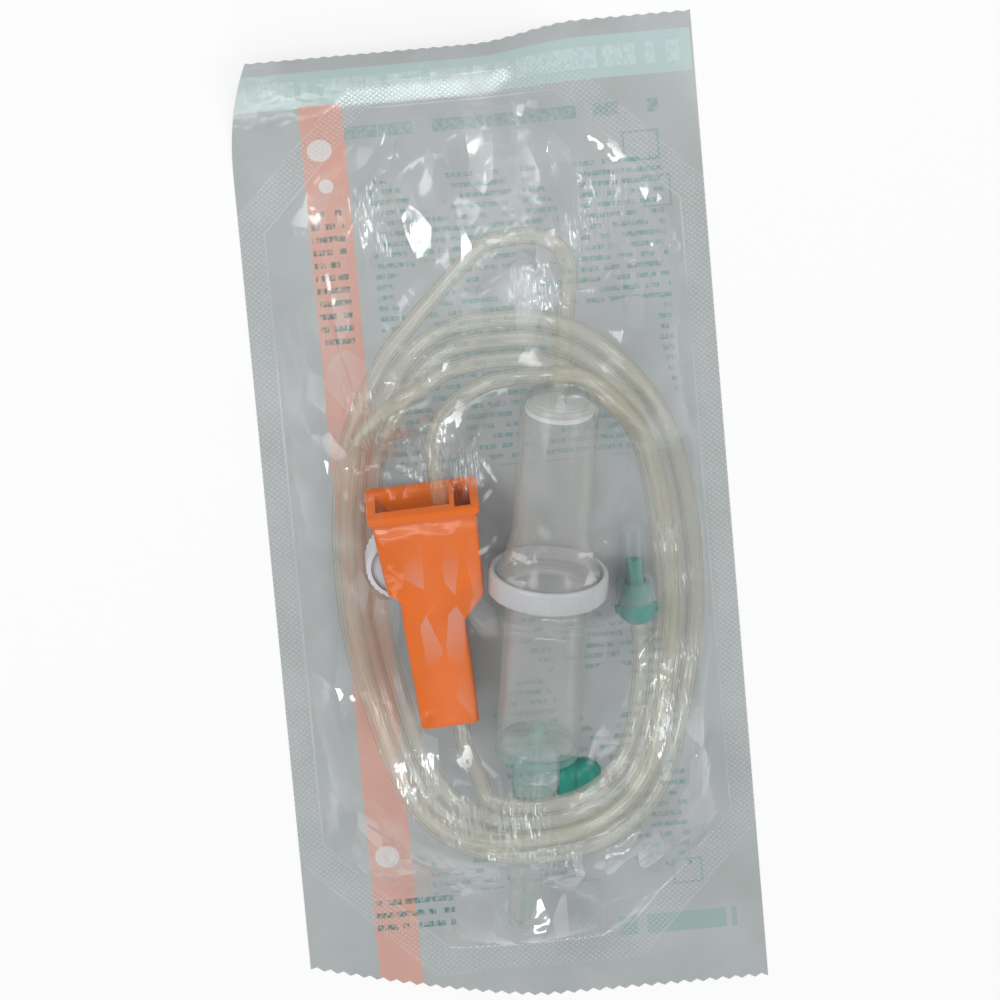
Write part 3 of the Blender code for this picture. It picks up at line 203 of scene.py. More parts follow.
# Film: how it spans, sags and creases
FILM_THICK = 0.00008
FILM_OVER_PAPER = 0.00012
FILM_GAP = 0.00025
FILM_PILLOW = 0.0042
FILM_PILLOW_REACH = 0.014
FILM_BRIDGE = 3
FILM_BRIDGE_SLOPE = 0.30
FILM_SLOPE = 1.00
FILM_FALL = 34
FILM_SEAL_SLOPE = 2.2
FILM_SETTLING = 10
FILM_SOFTENING = 2
CREASE_SEAL_REACH = 0.006
FREE_SEAL_REACH = 0.003
CRUMPLE_LEAST = 0.10
# Least share of the scuffing and its painted glints within a scuffed spot
SCUFF_AND_GLINT_LEAST = 0.35
RAY_HEIGHT = 0.1
ROLLER_STOPS = 6
ROLLER_TRAVEL = 0.028

# Creases of the film: middle x and y, reach, heading in degrees, number and height, in millimetres
CREASE_PATCHES = (
    (-24, 90, 15, 62, 24, 0.75),
    (-38, 58, 12, 84, 22, 0.60),
    (-37, 34, 13, 86, 26, 0.75),
    (-17, 56, 8, 120, 10, 0.45),
    (0, 94, 16, 40, 20, 0.65),
    (14, 104, 15, 15, 16, 0.50),
    (12, 72, 13, 170, 16, 0.45),
    (32, 92, 16, 118, 28, 0.75),
    (45, 66, 13, 98, 20, 0.60),
    (-17, -14, 12, 60, 16, 0.35),
    (-32, -8, 8, 92, 16, 0.60),
    (-44, -36, 8, 80, 14, 0.55),
    (-20, -46, 9, 172, 16, 0.75),
    (-29, -58, 13, 20, 30, 0.80),
    (-38, -78, 12, 118, 20, 0.65),
    (27, -40, 8, 62, 18, 0.55),
    (38, -60, 13, 66, 30, 0.70),
    (36, -84, 12, 50, 18, 0.60),
    (2, -92, 18, 10, 22, 0.55),
    (-15, 32, 9, 150, 14, 0.45),
    (0, 0, 95, 80, 130, 0.28),
)

# Finely scuffed spots of the film, streaked with painted glints: middle x and y and reach, in millimetres
SCUFFS_AND_GLINTS = (
    (-15, 27, 8),
    (-28, 33, 7),
    (-31, 45, 6),
    (40.5, -4.6, 5),
    (43, -16, 4.5),
    (43, -35, 5),
    (37.2, -48, 7),
    (-4, -69, 9),
    (-16, -68, 7),
    (8, -79, 6),
    (-8, 24, 6),
    (30, 84, 8),
    (-24, 88, 8),
    (14, 70, 7),
    (-25, -58, 7),
)
CREASE_SEED = 23

# Each crease: half length and half width in millimetres, spread of its heading in degrees,
# its share of the patch's height and its sign, and its wave in metres
CREASE_HALF_LENGTH = (4.0, 15.0)
CREASE_HALF_WIDTH = (1.1, 3.4)
CREASE_HEADING_SPREAD = 24.0
CREASE_HEIGHT_SHARE = (0.35, 1.0)
CREASE_SIGNS = (1.0, 1.0, -0.6)
CREASE_WAVE = 0.0006
CREASE_WAVE_LENGTH = 0.004

# Where a patch's weight reaches zero, in its own reaches
PATCH_EDGE = 1.35

# Lamps: name, place, width, height and power; each is turned to the middle
LAMPS = (
    ("key_lamp", (-0.52, 0.42, 0.72), 0.48, 0.40, 3.3),
    ("side_lamp", (0.95, 0.25, 0.80), 0.35, 0.55, 2.6),
    ("far_lamp", (0.15, -1.25, 0.85), 0.70, 0.24, 2.6),
    ("near_lamp", (0.25, 1.10, 0.60), 0.55, 0.16, 2.2),
)
SKY_COLOR = (0.95, 0.98, 1.0)
SKY_STRENGTH = 0.52
FLOOR_HALF_WIDTH = 4.0
FLOOR_GLOW = 0.80

# See-through mouldings: colour face on and edge on, density face on and edge on, roughness
WALLS = {
    "clear_rigid_wall": ((0.74, 0.75, 0.72), (0.44, 0.46, 0.44), 0.085, 0.70, 0.12),
    "clear_soft_wall": ((0.76, 0.76, 0.71), (0.48, 0.50, 0.45), 0.085, 0.62, 0.16),
    "luer_sheath_wall": ((0.74, 0.80, 0.80), (0.60, 0.68, 0.69), 0.065, 0.62, 0.16),
    "spike_sheath_wall": ((0.62, 0.66, 0.64), (0.55, 0.60, 0.58), 0.20, 0.80, 0.34),
    "spike_pale_green": ((0.34, 0.62, 0.54), (0.22, 0.46, 0.39), 0.16, 0.66, 0.22),
}
WALL_FLOW_SCALE = 120.0
WALL_EDGE_POWER = 2.2
WALL_IOR = 1.9

# Opaque mouldings: colour, roughness and how mottled they are
SOLIDS = {
    "white_moulding": ((0.50, 0.50, 0.51), 0.26, 0.02),
    "roller_moulding": ((0.72, 0.71, 0.74), 0.36, 0.02),
    "cap_green_moulding": ((0.001, 0.225, 0.165), 0.30, 0.10),
    "luer_green_moulding": ((0.001, 0.240, 0.180), 0.30, 0.10),
    "clamp_orange_moulding": ((0.83, 0.150, 0.001), 0.34, 0.05),
}
FLOW_SCALE = 90.0
GRAIN_SCALE = 1600.0

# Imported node, piece, finish and slot of each moulding, and how its edges differ from the rest
MOULDINGS = (
    ("chamber_upper", "upper_shell", "clear_rigid_wall", "clear_rigid", {}),
    ("chamber_ring", "joining_ring", "white_moulding", "ring_white", {"bevel": 0.00015}),
    ("chamber_lower", "lower_shell", "clear_soft_wall", "clear_soft", {}),
    ("chamber_outlet", "outlet_fitting", "clear_soft_wall", "clear_soft", {}),
    ("fluid_filter", "fluid_membrane", "filter_membrane", "filter_white", {}),
    ("vent_filter", "vent_membrane", "filter_membrane", "filter_white", {}),
    ("spike", "bag_spike", "spike_pale_green", "spike_tint", {}),
    ("spike_cap", "spike_sheath", "spike_sheath_wall", "cap_frosted", {}),
    ("vent_cap", "vent_plug", "cap_green_moulding", "cap_green", {"smooth_angle": 50.0}),
    (
        "clamp_housing", "clamp_shell", "clamp_orange_moulding", "clamp_orange",
        {"smooth_angle": 30.0, "bevel": 0.0004, "segments": 3},
    ),
    ("clamp_roller", "clamp_wheel", "roller_moulding", "roller_white", {"smooth_angle": 30.0}),
    ("luer_connector", "luer_body", "luer_green_moulding", "luer_green", {"smooth_angle": 30.0}),
    ("luer_cap", "luer_sheath", "luer_sheath_wall", "cap_frosted", {}),
)
MERGE_DISTANCE = 0.000004
FLAT_ANGLE = math.radians(0.4)

# Tube and filter finishes
TUBE_FACE_COLOR = (0.66, 0.61, 0.43)
TUBE_EDGE_COLOR = (0.33, 0.27, 0.15)
TUBE_DENSITY = (0.085, 0.68)
TUBE_FLOW_SCALE = 110.0
TUBE_IOR = 2.0
FILTER_THREADS = 9000.0

# Film finish: scales are cells to the metre, numbers above which a cell glints lie from 0 to 1
FILM_WAVE_SCALE = 120.0
FILM_WAVE_HEIGHT = 0.0013
FACET_SCALE = 230.0
FACET_STRETCH = (1.0, 0.42, 0.2)
FACET_TILT = 0.85
FACET_GLINTS_OVER = 0.74
SCRATCH_SCALE = 400.0
SCRATCH_STRETCH = (8.0, 1.1, 0.2)
SCRATCH_GLINTS_OVER = 0.45
# Veil of the film, part haze and part painted glare: its scale and stretch, and where it fades from the head
# down to its least at the foot
HAZE_AND_GLARE_SCALE = 24.0
HAZE_AND_GLARE_STRETCH = (1.7, 0.5, 1.0)
HAZE_AND_GLARE_FOOT = -0.03
HAZE_AND_GLARE_HEAD = 0.10
HAZE_AND_GLARE_LEAST = 0.06
FILM_CLEAR = 0.010
FILM_EDGE_ON = 0.9
FILM_EDGE_POWER = 4.0
FILM_COLOR = (0.93, 0.95, 0.95)
INNER_RIM_HALF = 0.00040
OUTER_RIM_HALF = 0.00030
OVAL_HALF = 0.012

# Print on the paper: left, right, foot and head of each field
HEADER_BAND = (-0.0560, 0.0560, 0.1150, 0.1262)
HEADER_BLOCKS = (-0.0520, 0.0540, 0.1178, 0.1234)
SIDE_STRIPE = (-0.0395, -0.0290, -0.1330, 0.1155)
UPPER_TEXT = (-0.0270, 0.0465, 0.0150, 0.0940)
LOWER_TEXT = (-0.0270, 0.0400, -0.1000, -0.0250)
HEADLINE = (-0.0290, 0.0470, 0.1010, 0.1085)
FOOT_BAR = (0.0180, 0.0500, -0.1160, -0.1085)
UPPER_SIDE_NOTE = (-0.0390, -0.0310, 0.0500, 0.0870)
LOWER_SIDE_NOTE = (-0.0390, -0.0195, -0.1090, -0.1000)
OUTLINED_BOXES = (
    (0.0375, 0.0465, 0.0925, 0.1005),
    (0.0415, 0.0485, 0.0800, 0.0885),
    (0.0350, 0.0425, -0.1030, -0.0960),
)
BOX_LINE = 0.0006

# Discs on the stripe: middle x and y, and radius
STRIPE_DISCS = (
    (-0.0353, 0.1026, 0.0030),
    (-0.0345, 0.0930, 0.0018),
    (-0.0350, -0.0885, 0.0030),
)

# Rows of print: pitch, printed share of it, length of a word, number of the random pattern
HEADER_ROWS = (0.0900, 1.0, 0.0052, 3.0)
TEXT_ROWS = (0.0028, 0.46, 0.0056, 7.0)
HEADLINE_ROWS = (0.0150, 0.5, 0.0130, 11.0)
FOOT_ROWS = (0.0150, 0.62, 0.0070, 5.0)
SIDE_ROWS = (0.0034, 0.45, 0.0040, 2.0)
TEXT_COLUMN = 0.0370
COLUMN_GAP = 0.07

# Inks and paper
PAPER_DARK = (0.385, 0.405, 0.400)
PAPER_LIGHT = (0.455, 0.475, 0.472)
TEAL_INK = (0.055, 0.275, 0.235)
PALE_TEAL_INK = (0.235, 0.390, 0.365)
DEEP_TEAL_INK = (0.020, 0.165, 0.145)
STRIPE_INK = (0.780, 0.305, 0.200)
HEADER_INK = (0.455, 0.610, 0.590)
BLOCK_WHITE = (0.80, 0.86, 0.86)
DISC_WHITE = (0.72, 0.74, 0.74)
SEAL_WHITE = (0.74, 0.765, 0.765)


def placed(name, data):
    """A new object in the scene, at the origin."""
    piece = bpy.data.objects.new(name, data)
    bpy.context.scene.collection.objects.link(piece)
    return piece


def smooth_step(value):
    """Eases a share, or a whole grid of them, from 0 to 1."""
    value = np.clip(value, 0.0, 1.0)
    return value * value * (3.0 - 2.0 * value)


# Camera and background

def place_camera():
    camera_data = bpy.data.cameras.new("studio_camera")
    camera_data.type = "PERSP"
    camera_data.sensor_width = SENSOR_WIDTH
    camera_data.lens = SENSOR_WIDTH * CAMERA_DISTANCE / PHOTO_WIDTH
    camera_data.clip_start = 0.05
    camera_data.clip_end = 20.0
    camera = placed("studio_camera", camera_data)
    back = Vector((0.0, math.cos(PHOTO_ELEVATION), math.sin(PHOTO_ELEVATION)))
    level_right = Vector((1.0, 0.0, 0.0))
    level_up = back.cross(level_right)
    right = level_right * math.cos(PHOTO_ROLL) - level_up * math.sin(PHOTO_ROLL)
    up = level_up * math.cos(PHOTO_ROLL) + level_right * math.sin(PHOTO_ROLL)
    turn = Matrix((right, up, back)).transposed()
    camera.matrix_world = Matrix.Translation(PHOTO_MIDDLE + back * CAMERA_DISTANCE) @ turn.to_4x4()
    bpy.context.scene.camera = camera


def add_lamp(name, place, width, height, power):
    lamp_data = bpy.data.lights.new(name, "AREA")
    lamp_data.shape = "RECTANGLE"
    lamp_data.size = width
    lamp_data.size_y = height
    lamp_data.energy = power
    lamp = placed(name, lamp_data)
    lamp.location = place
    lamp.rotation_mode = "QUATERNION"
    lamp.rotation_quaternion = (-Vector(place)).to_track_quat("-Z", "Y")


def light_studio():
    world = bpy.data.worlds.new("studio_world")
    bpy.context.scene.world = world
    world.use_nodes = True
    backdrop = world.node_tree.nodes["Background"]
    backdrop.inputs["Color"].default_value = (*SKY_COLOR, 1.0)
    backdrop.inputs["Strength"].default_value = SKY_STRENGTH
    for lamp in LAMPS:
        add_lamp(*lamp)


# Node helpers

class Nodes:
    """A short hand for wiring one material."""

    def __init__(self, name):
        self.material = bpy.data.materials.new(name)
        self.material.use_nodes = True
        self.tree = self.material.node_tree
        self.shader = self.tree.nodes["Principled BSDF"]

    def feed(self, socket, value):
        if isinstance(value, bpy.types.NodeSocket):
            self.tree.links.new(value, socket)
        elif isinstance(value, (tuple, list)) and socket.type == "RGBA":
            socket.default_value = (*value[:3], 1.0)
        else:
            socket.default_value = value

    def add(self, kind, settings=None, **inputs):
        node = self.tree.nodes.new(kind)
        for setting, value in (settings or {}).items():
            setattr(node, setting, value)
        for name, value in inputs.items():
            self.feed(node.inputs[name.replace("_", " ")], value)
        return node

    def maths(self, operation, first, second=0.0, clamp=False):
        node = self.add("ShaderNodeMath", {"operation": operation, "use_clamp": clamp})
        self.feed(node.inputs[0], first)
        self.feed(node.inputs[1], second)
        return node.outputs[0]

    def times(self, first, second, clamp=False):
        return self.maths("MULTIPLY", first, second, clamp)

    def place(self):
        """Object coordinates as three sockets."""
        coordinates = self.add("ShaderNodeTexCoord").outputs["Object"]
        return self.add("ShaderNodeSeparateXYZ", Vector=coordinates).outputs

    def stretched_place(self, stretch):
        coordinates = self.add("ShaderNodeTexCoord").outputs["Object"]
        return self.add("ShaderNodeMapping", Vector=coordinates, Scale=stretch).outputs["Vector"]

    def noise(self, scale, detail=3.0, roughness=0.5, stretch=(1.0, 1.0, 1.0)):
        place = self.stretched_place(stretch)
        return self.add(
            "ShaderNodeTexNoise", Vector=place, Scale=scale, Detail=detail, Roughness=roughness,
        ).outputs["Fac"]

    def vector_maths(self, operation, first, second=None):
        node = self.add("ShaderNodeVectorMath", {"operation": operation})
        self.feed(node.inputs[0], first)
        if second is not None:
            self.feed(node.inputs["Scale" if operation == "SCALE" else 1], second)
        return node.outputs[0]

    def tilted_cells(self, scale, stretch, amount):
        """Random sideways tilt, the same all over each cell, as crumpled film has, and the cell's number."""
        place = self.stretched_place(stretch)
        cells = self.add("ShaderNodeTexVoronoi", Vector=place, Scale=scale).outputs["Color"]
        centred = self.vector_maths("SUBTRACT", cells, (0.5, 0.5, 0.5))
        number = self.add("ShaderNodeSeparateXYZ", Vector=cells).outputs["Z"]
        return self.vector_maths("SCALE", centred, amount), number

    def spread(self, value, low, high, to_low=0.0, to_high=1.0):
        """Maps a stretch of values on another, clamped."""
        return self.add(
            "ShaderNodeMapRange", Value=value, From_Min=low, From_Max=high, To_Min=to_low, To_Max=to_high,
        ).outputs["Result"]

    def from_noise(self, value, to_low=0.0, to_high=1.0):
        """Maps the usual range of a noise on another."""
        return self.spread(value, 0.3, 0.7, to_low, to_high)

    def blend(self, share, first, second):
        node = self.add("ShaderNodeMix", {"data_type": "RGBA"}, Factor=share, A=first, B=second)
        return next(socket for socket in node.outputs if socket.type == "RGBA")

    def bump(self, height, distance, strength):
        return self.add("ShaderNodeBump", Height=height, Distance=distance, Strength=strength).outputs["Normal"]

    def facing(self):
        """0 where the surface is seen square on, 1 where it is seen edge on."""
        return self.add("ShaderNodeLayerWeight", Blend=0.5).outputs["Facing"]

    def attribute(self, name):
        return self.add("ShaderNodeAttribute", {"attribute_name": name}).outputs["Fac"]

    def box_mask(self, x, y, left, right, low, high):
        """1 inside a field of the flat sheet."""
        sides = []
        for place, least, most in ((x, left, right), (y, low, high)):
            over = self.maths("GREATER_THAN", place, least)
            sides.append(self.times(over, self.maths("LESS_THAN", place, most)))
        return self.times(*sides)

    def finish(self, **inputs):
        for name, value in inputs.items():
            self.feed(self.shader.inputs[name.replace("_", " ")], value)
        return self.material


# Finishes

def moulded(name, color, roughness, mottle):
    """Opaque moulded plastic with a little flow marking and fine grain."""
    nodes = Nodes(name)
    flow = nodes.noise(FLOW_SCALE, 3.0, 0.6, (1.0, 0.45, 1.0))
    darker = tuple(part * (1.0 - 2.2 * mottle) for part in color)
    lighter = tuple(min(1.0, part * (1.0 + mottle)) for part in color)
    tint = nodes.blend(nodes.from_noise(flow), darker, lighter)
    gloss = nodes.from_noise(flow, roughness - 0.05, roughness + 0.07)
    normal = nodes.bump(nodes.noise(GRAIN_SCALE, 2.0), 0.00002, 0.5)
    return nodes.finish(Base_Color=tint, Roughness=gloss, Normal=normal, Specular_IOR_Level=0.35)


def see_through(name, face_color, edge_color, face_alpha, edge_alpha, roughness):
    """Clear plastic wall, denser where it is seen edge on."""
    nodes = Nodes(name)
    facing = nodes.facing()
    flow = nodes.noise(WALL_FLOW_SCALE, 2.0, 0.6)
    cloud = nodes.from_noise(flow, 0.85, 1.15)
    density = nodes.spread(nodes.maths("POWER", facing, WALL_EDGE_POWER), 0.0, 1.0, face_alpha, edge_alpha)
    alpha = nodes.times(density, cloud, clamp=True)
    tint = nodes.blend(facing, face_color, edge_color)
    normal = nodes.bump(flow, 0.00020, 0.35)
    gloss = nodes.from_noise(flow, roughness * 0.8, roughness * 1.3)
    shine = {"Specular IOR Level": 1.0, "IOR": WALL_IOR}
    return nodes.finish(Base_Color=tint, Roughness=gloss, Alpha=alpha, Normal=normal, **shine)


def pocket_distance(nodes, x, y):
    """Distance inside the pocket's octagon, worked out on the surface itself."""
    side = nodes.maths("SUBTRACT", POCKET_HALF_WIDTH, nodes.maths("ABSOLUTE", x))
    top = nodes.maths("SUBTRACT", POCKET_TOP, y)
    foot = nodes.maths("SUBTRACT", y, POCKET_BOTTOM)
    end = nodes.maths("MINIMUM", top, foot)
    diagonal = math.hypot(POCKET_CORNER_X, POCKET_CORNER_Y)
    across = nodes.times(side, POCKET_CORNER_Y / diagonal)
    along = nodes.times(end, POCKET_CORNER_X / diagonal)
    cut_off = POCKET_CORNER_X * POCKET_CORNER_Y / diagonal
    corner = nodes.maths("SUBTRACT", nodes.maths("ADD", across, along), cut_off)
    return nodes.maths("MINIMUM", nodes.maths("MINIMUM", side, end), corner)


def seal_band(nodes, inside):
    """1 on the knurled band round the pocket."""
    within = nodes.maths("LESS_THAN", inside, -SEAL_EDGE)
    return nodes.times(within, nodes.maths("GREATER_THAN", inside, -SEAL_WIDTH))


def thin_line(nodes, value, middle, half_width):
    """1 on a line where the value passes its middle, fading to both sides."""
    away = nodes.maths("ABSOLUTE", nodes.maths("SUBTRACT", value, middle))
    return nodes.maths("SUBTRACT", 1.0, nodes.maths("DIVIDE", away, half_width), clamp=True)


def knurl(nodes, x, y):
    """Height of the heat seal's lattice of small lozenges."""
    across = nodes.maths("DIVIDE", x, KNURL_ACROSS)
    along = nodes.maths("DIVIDE", y, KNURL_ALONG)
    first = nodes.maths("PINGPONG", nodes.maths("ADD", across, along), 0.5)
    second = nodes.maths("PINGPONG", nodes.maths("SUBTRACT", across, along), 0.5)
    return nodes.times(nodes.times(first, second), 4.0)


def film_rim(nodes, x, y, inside):
    """Pale lines of the film: both edges of the seal, and the oval where it turns down to the paper."""
    rim = thin_line(nodes, inside, 0.0, INNER_RIM_HALF)
    outer = thin_line(nodes, inside, -SEAL_WIDTH, OUTER_RIM_HALF)
    rim = nodes.maths("ADD", rim, nodes.times(outer, 0.7))
    across = nodes.maths("POWER", nodes.maths("DIVIDE", x, OVAL_HALF_WIDTH), 2.0)
    along = nodes.maths("POWER", nodes.maths("DIVIDE", y, OVAL_HALF_LENGTH), 2.0)
    oval = thin_line(nodes, nodes.maths("ADD", across, along), 1.0, OVAL_HALF)
    return nodes.maths("ADD", rim, nodes.times(oval, 0.3), clamp=True)


def film_finish():
    """Outer face of the clear film: crisp glints on its small facets, fine scuffs streaked with painted glints,
    and soft pale veils of haze and painted glare.
    """
    nodes = Nodes("film_clear")
    x, y, _ = nodes.place()
    inside = pocket_distance(nodes, x, y)
    seal = seal_band(nodes, inside)
    open_film = nodes.maths("SUBTRACT", 1.0, seal)
    crumple = nodes.attribute("crumple")
    scuff_and_glint = nodes.attribute("scuff_and_glint")
    clouds = nodes.noise(FILM_WAVE_SCALE, 2.0, 0.6)
    waves = nodes.bump(nodes.times(clouds, open_film), FILM_WAVE_HEIGHT, 0.5)
    facet_tilt = nodes.times(crumple, FACET_TILT)
    facets, facet_number = nodes.tilted_cells(FACET_SCALE, FACET_STRETCH, facet_tilt)
    scratches, scratch_number = nodes.tilted_cells(SCRATCH_SCALE, SCRATCH_STRETCH, scuff_and_glint)
    tilt = nodes.vector_maths("ADD", facets, scratches)
    normal = nodes.vector_maths("NORMALIZE", nodes.vector_maths("ADD", waves, tilt))

    # Pale veil: part haze, part painted glare that is strongest towards the head
    streaks = nodes.noise(HAZE_AND_GLARE_SCALE, 2.0, 0.62, HAZE_AND_GLARE_STRETCH)
    fade = nodes.spread(y, HAZE_AND_GLARE_FOOT, HAZE_AND_GLARE_HEAD, HAZE_AND_GLARE_LEAST, 1.0)
    haze_and_glare = nodes.times(nodes.spread(streaks, 0.46, 0.70), fade)
    facet_glint = nodes.maths("GREATER_THAN", facet_number, FACET_GLINTS_OVER)
    facet_glint = nodes.times(facet_glint, crumple)
    # Painted scratch glints: white diffuse streaks on scuffed film, besides the reflection off their tilted
    # cells
    painted_scratch_glint = nodes.maths("GREATER_THAN", scratch_number, SCRATCH_GLINTS_OVER)
    painted_scratch_glint = nodes.times(painted_scratch_glint, scuff_and_glint)
    rim = film_rim(nodes, x, y, inside)
    rim = nodes.times(rim, nodes.spread(streaks, 0.36, 0.62, 0.25, 1.0))
    dots = nodes.times(knurl(nodes, x, y), seal)

    edge_on = nodes.maths("POWER", nodes.facing(), FILM_EDGE_POWER)
    alpha = nodes.spread(edge_on, 0.0, 1.0, FILM_CLEAR, FILM_EDGE_ON)
    marks = (
        (0.01, clouds), (0.17, haze_and_glare), (0.26, facet_glint), (0.30, painted_scratch_glint), (0.42, rim), (0.13, dots),
    )
    for share, mark in marks:
        alpha = nodes.maths("ADD", alpha, nodes.times(mark, share), clamp=True)
    # White, diffuse share of the film: the painted glare in the veil, the painted scratch glints and the pale
    # rims
    white = nodes.maths("MAXIMUM", nodes.times(haze_and_glare, 0.75), rim)
    white = nodes.maths("MAXIMUM", nodes.times(painted_scratch_glint, 0.7), white)
    rough = nodes.from_noise(clouds, 0.06, 0.13)
    rough = nodes.maths("ADD", rough, nodes.times(white, 0.35))
    metallic = nodes.spread(white, 0.0, 1.0, 0.85, 0.15)
    return nodes.finish(Base_Color=FILM_COLOR, Metallic=metallic, Roughness=rough, Alpha=alpha, Normal=normal)


def film_inner_finish():
    """Inner face of the film, with soft waves and no scuffs."""
    nodes = Nodes("film_clear_inner")
    clouds = nodes.noise(80.0, 1.0, 0.6)
    edge_on = nodes.maths("POWER", nodes.facing(), FILM_EDGE_POWER)
    mirror = nodes.spread(edge_on, 0.0, 1.0, 0.012, 0.6)
    alpha = nodes.times(mirror, nodes.from_noise(clouds, 0.6, 1.4), clamp=True)
    return nodes.finish(Base_Color=FILM_COLOR, Metallic=0.8, Roughness=0.18, Alpha=alpha)


def print_lines(nodes, x, y, pitch, fill, word, seed):
    """Rows of short bars of uneven length, as broken by a hashed grid."""
    row = nodes.maths("DIVIDE", y, pitch)
    row_number = nodes.maths("FLOOR", row)
    on_row = nodes.maths("LESS_THAN", nodes.maths("FRACT", row), fill)
    shifted = nodes.maths("ADD", nodes.maths("DIVIDE", x, word), nodes.times(row_number, 0.37))
    word_number = nodes.maths("FLOOR", shifted)
    spot = nodes.add("ShaderNodeCombineXYZ", X=word_number, Y=row_number, Z=seed).outputs[0]
    hashed = nodes.add("ShaderNodeTexWhiteNoise", {"noise_dimensions": "3D"}, Vector=spot).outputs["Value"]
    length = nodes.spread(hashed, 0.0, 1.0, 0.35, 1.15)
    return nodes.times(on_row, nodes.maths("LESS_THAN", nodes.maths("FRACT", shifted), length))


def printed_field(nodes, x, y, field, rows):
    """Rows of print in one field."""
    return nodes.times(nodes.box_mask(x, y, *field), print_lines(nodes, x, y, *rows))


def text_mask(nodes, x, y, wear):
    """Columns of small print in two blocks, with gaps."""
    text = print_lines(nodes, x, y, *TEXT_ROWS)
    across = nodes.maths("DIVIDE", nodes.maths("ADD", x, -UPPER_TEXT[0]), TEXT_COLUMN)
    columns = nodes.maths("GREATER_THAN", nodes.maths("FRACT", across), COLUMN_GAP)
    blocks = nodes.maths("MAXIMUM", nodes.box_mask(x, y, *UPPER_TEXT), nodes.box_mask(x, y, *LOWER_TEXT))
    gaps = nodes.maths("GREATER_THAN", nodes.noise(34.0, 1.0), 0.43)
    for mask in (columns, blocks, wear, gaps):
        text = nodes.times(text, mask)
    return text


def paper_finish():
    """Coated paper with its print: a header band, a side stripe, and rows of bars."""
    nodes = Nodes("paper_printed")
    x, y, _ = nodes.place()
    seal = seal_band(nodes, pocket_distance(nodes, x, y))
    clouds = nodes.noise(45.0, 2.0, 0.6)
    wear = nodes.spread(nodes.noise(900.0, 2.0, 0.6, (1.3, 0.7, 1.0)), 0.36, 0.60, 0.1, 1.0)

    header = printed_field(nodes, x, y, HEADER_BLOCKS, HEADER_ROWS)
    headline = printed_field(nodes, x, y, HEADLINE, HEADLINE_ROWS)
    foot = printed_field(nodes, x, y, FOOT_BAR, FOOT_ROWS)
    notes = [nodes.box_mask(x, y, *field) for field in (UPPER_SIDE_NOTE, LOWER_SIDE_NOTE)]
    side = nodes.times(nodes.maths("MAXIMUM", *notes), print_lines(nodes, x, y, *SIDE_ROWS))
    prints = [
        (nodes.box_mask(x, y, *HEADER_BAND), 0.75, HEADER_INK),
        (nodes.times(header, wear), 0.30, BLOCK_WHITE),
        (nodes.box_mask(x, y, *SIDE_STRIPE), 0.62, STRIPE_INK),
        (text_mask(nodes, x, y, wear), 0.56, TEAL_INK),
        (nodes.times(headline, wear), 0.40, TEAL_INK),
        (foot, 0.55, PALE_TEAL_INK),
        (nodes.times(side, wear), 0.85, DEEP_TEAL_INK),
    ]
    for middle_x, middle_y, radius in STRIPE_DISCS:
        across = nodes.maths("POWER", nodes.maths("SUBTRACT", x, middle_x), 2.0)
        along = nodes.maths("POWER", nodes.maths("SUBTRACT", y, middle_y), 2.0)
        reach = nodes.maths("SQRT", nodes.maths("ADD", across, along))
        prints.append((nodes.maths("LESS_THAN", reach, radius), 0.7, DISC_WHITE))
    for left, right, low, high in OUTLINED_BOXES:
        outer = nodes.box_mask(x, y, left, right, low, high)
        inner = nodes.box_mask(x, y, left + BOX_LINE, right - BOX_LINE, low + BOX_LINE, high - BOX_LINE)
        prints.append((nodes.maths("SUBTRACT", outer, inner), 0.32, TEAL_INK))
    color = nodes.blend(nodes.from_noise(clouds), PAPER_DARK, PAPER_LIGHT)
    for mask, share, ink in prints:
        color = nodes.blend(nodes.times(mask, share), color, ink)

    dots = nodes.times(knurl(nodes, x, y), seal)
    color = nodes.blend(nodes.spread(dots, 0.15, 0.8, 0.0, 0.42), color, SEAL_WHITE)
    fibres = nodes.noise(1500.0, 2.0, 0.6)
    height = nodes.maths("ADD", nodes.times(fibres, 0.10), dots)
    normal = nodes.bump(height, 0.00020, 0.8)
    rough = nodes.from_noise(fibres, 0.55, 0.75)
    return nodes.finish(Base_Color=color, Roughness=rough, Normal=normal)


def tube_finish():
    """Soft clear tube, faintly yellow, denser along its edges and its bore."""
    nodes = Nodes("tube_soft_clear")
    facing = nodes.facing()
    flow = nodes.noise(TUBE_FLOW_SCALE, 2.0, 0.6)
    cloud = nodes.from_noise(flow, 0.8, 1.2)
    density = nodes.spread(nodes.maths("POWER", facing, 2.0), 0.0, 1.0, *TUBE_DENSITY)
    alpha = nodes.times(density, cloud, clamp=True)
    tint = nodes.blend(nodes.maths("POWER", facing, 1.4), TUBE_FACE_COLOR, TUBE_EDGE_COLOR)
    rough = nodes.from_noise(flow, 0.10, 0.20)
    return nodes.finish(Base_Color=tint, Roughness=rough, Alpha=alpha, Specular_IOR_Level=1.0, IOR=TUBE_IOR)


def filter_finish():
    """White membrane, finely woven."""
    nodes = Nodes("filter_membrane")
    x, y, _ = nodes.place()
    threads = [nodes.maths("SINE", nodes.times(place, FILTER_THREADS)) for place in (x, y)]
    weave = nodes.times(*threads)
    color = nodes.blend(nodes.spread(weave, -1.0, 1.0), (0.70, 0.70, 0.68), (0.86, 0.86, 0.84))
    normal = nodes.bump(weave, 0.00006, 0.6)
    rough = nodes.from_noise(nodes.noise(500.0), 0.75, 0.9)
    return nodes.finish(Base_Color=color, Roughness=rough, Normal=normal)


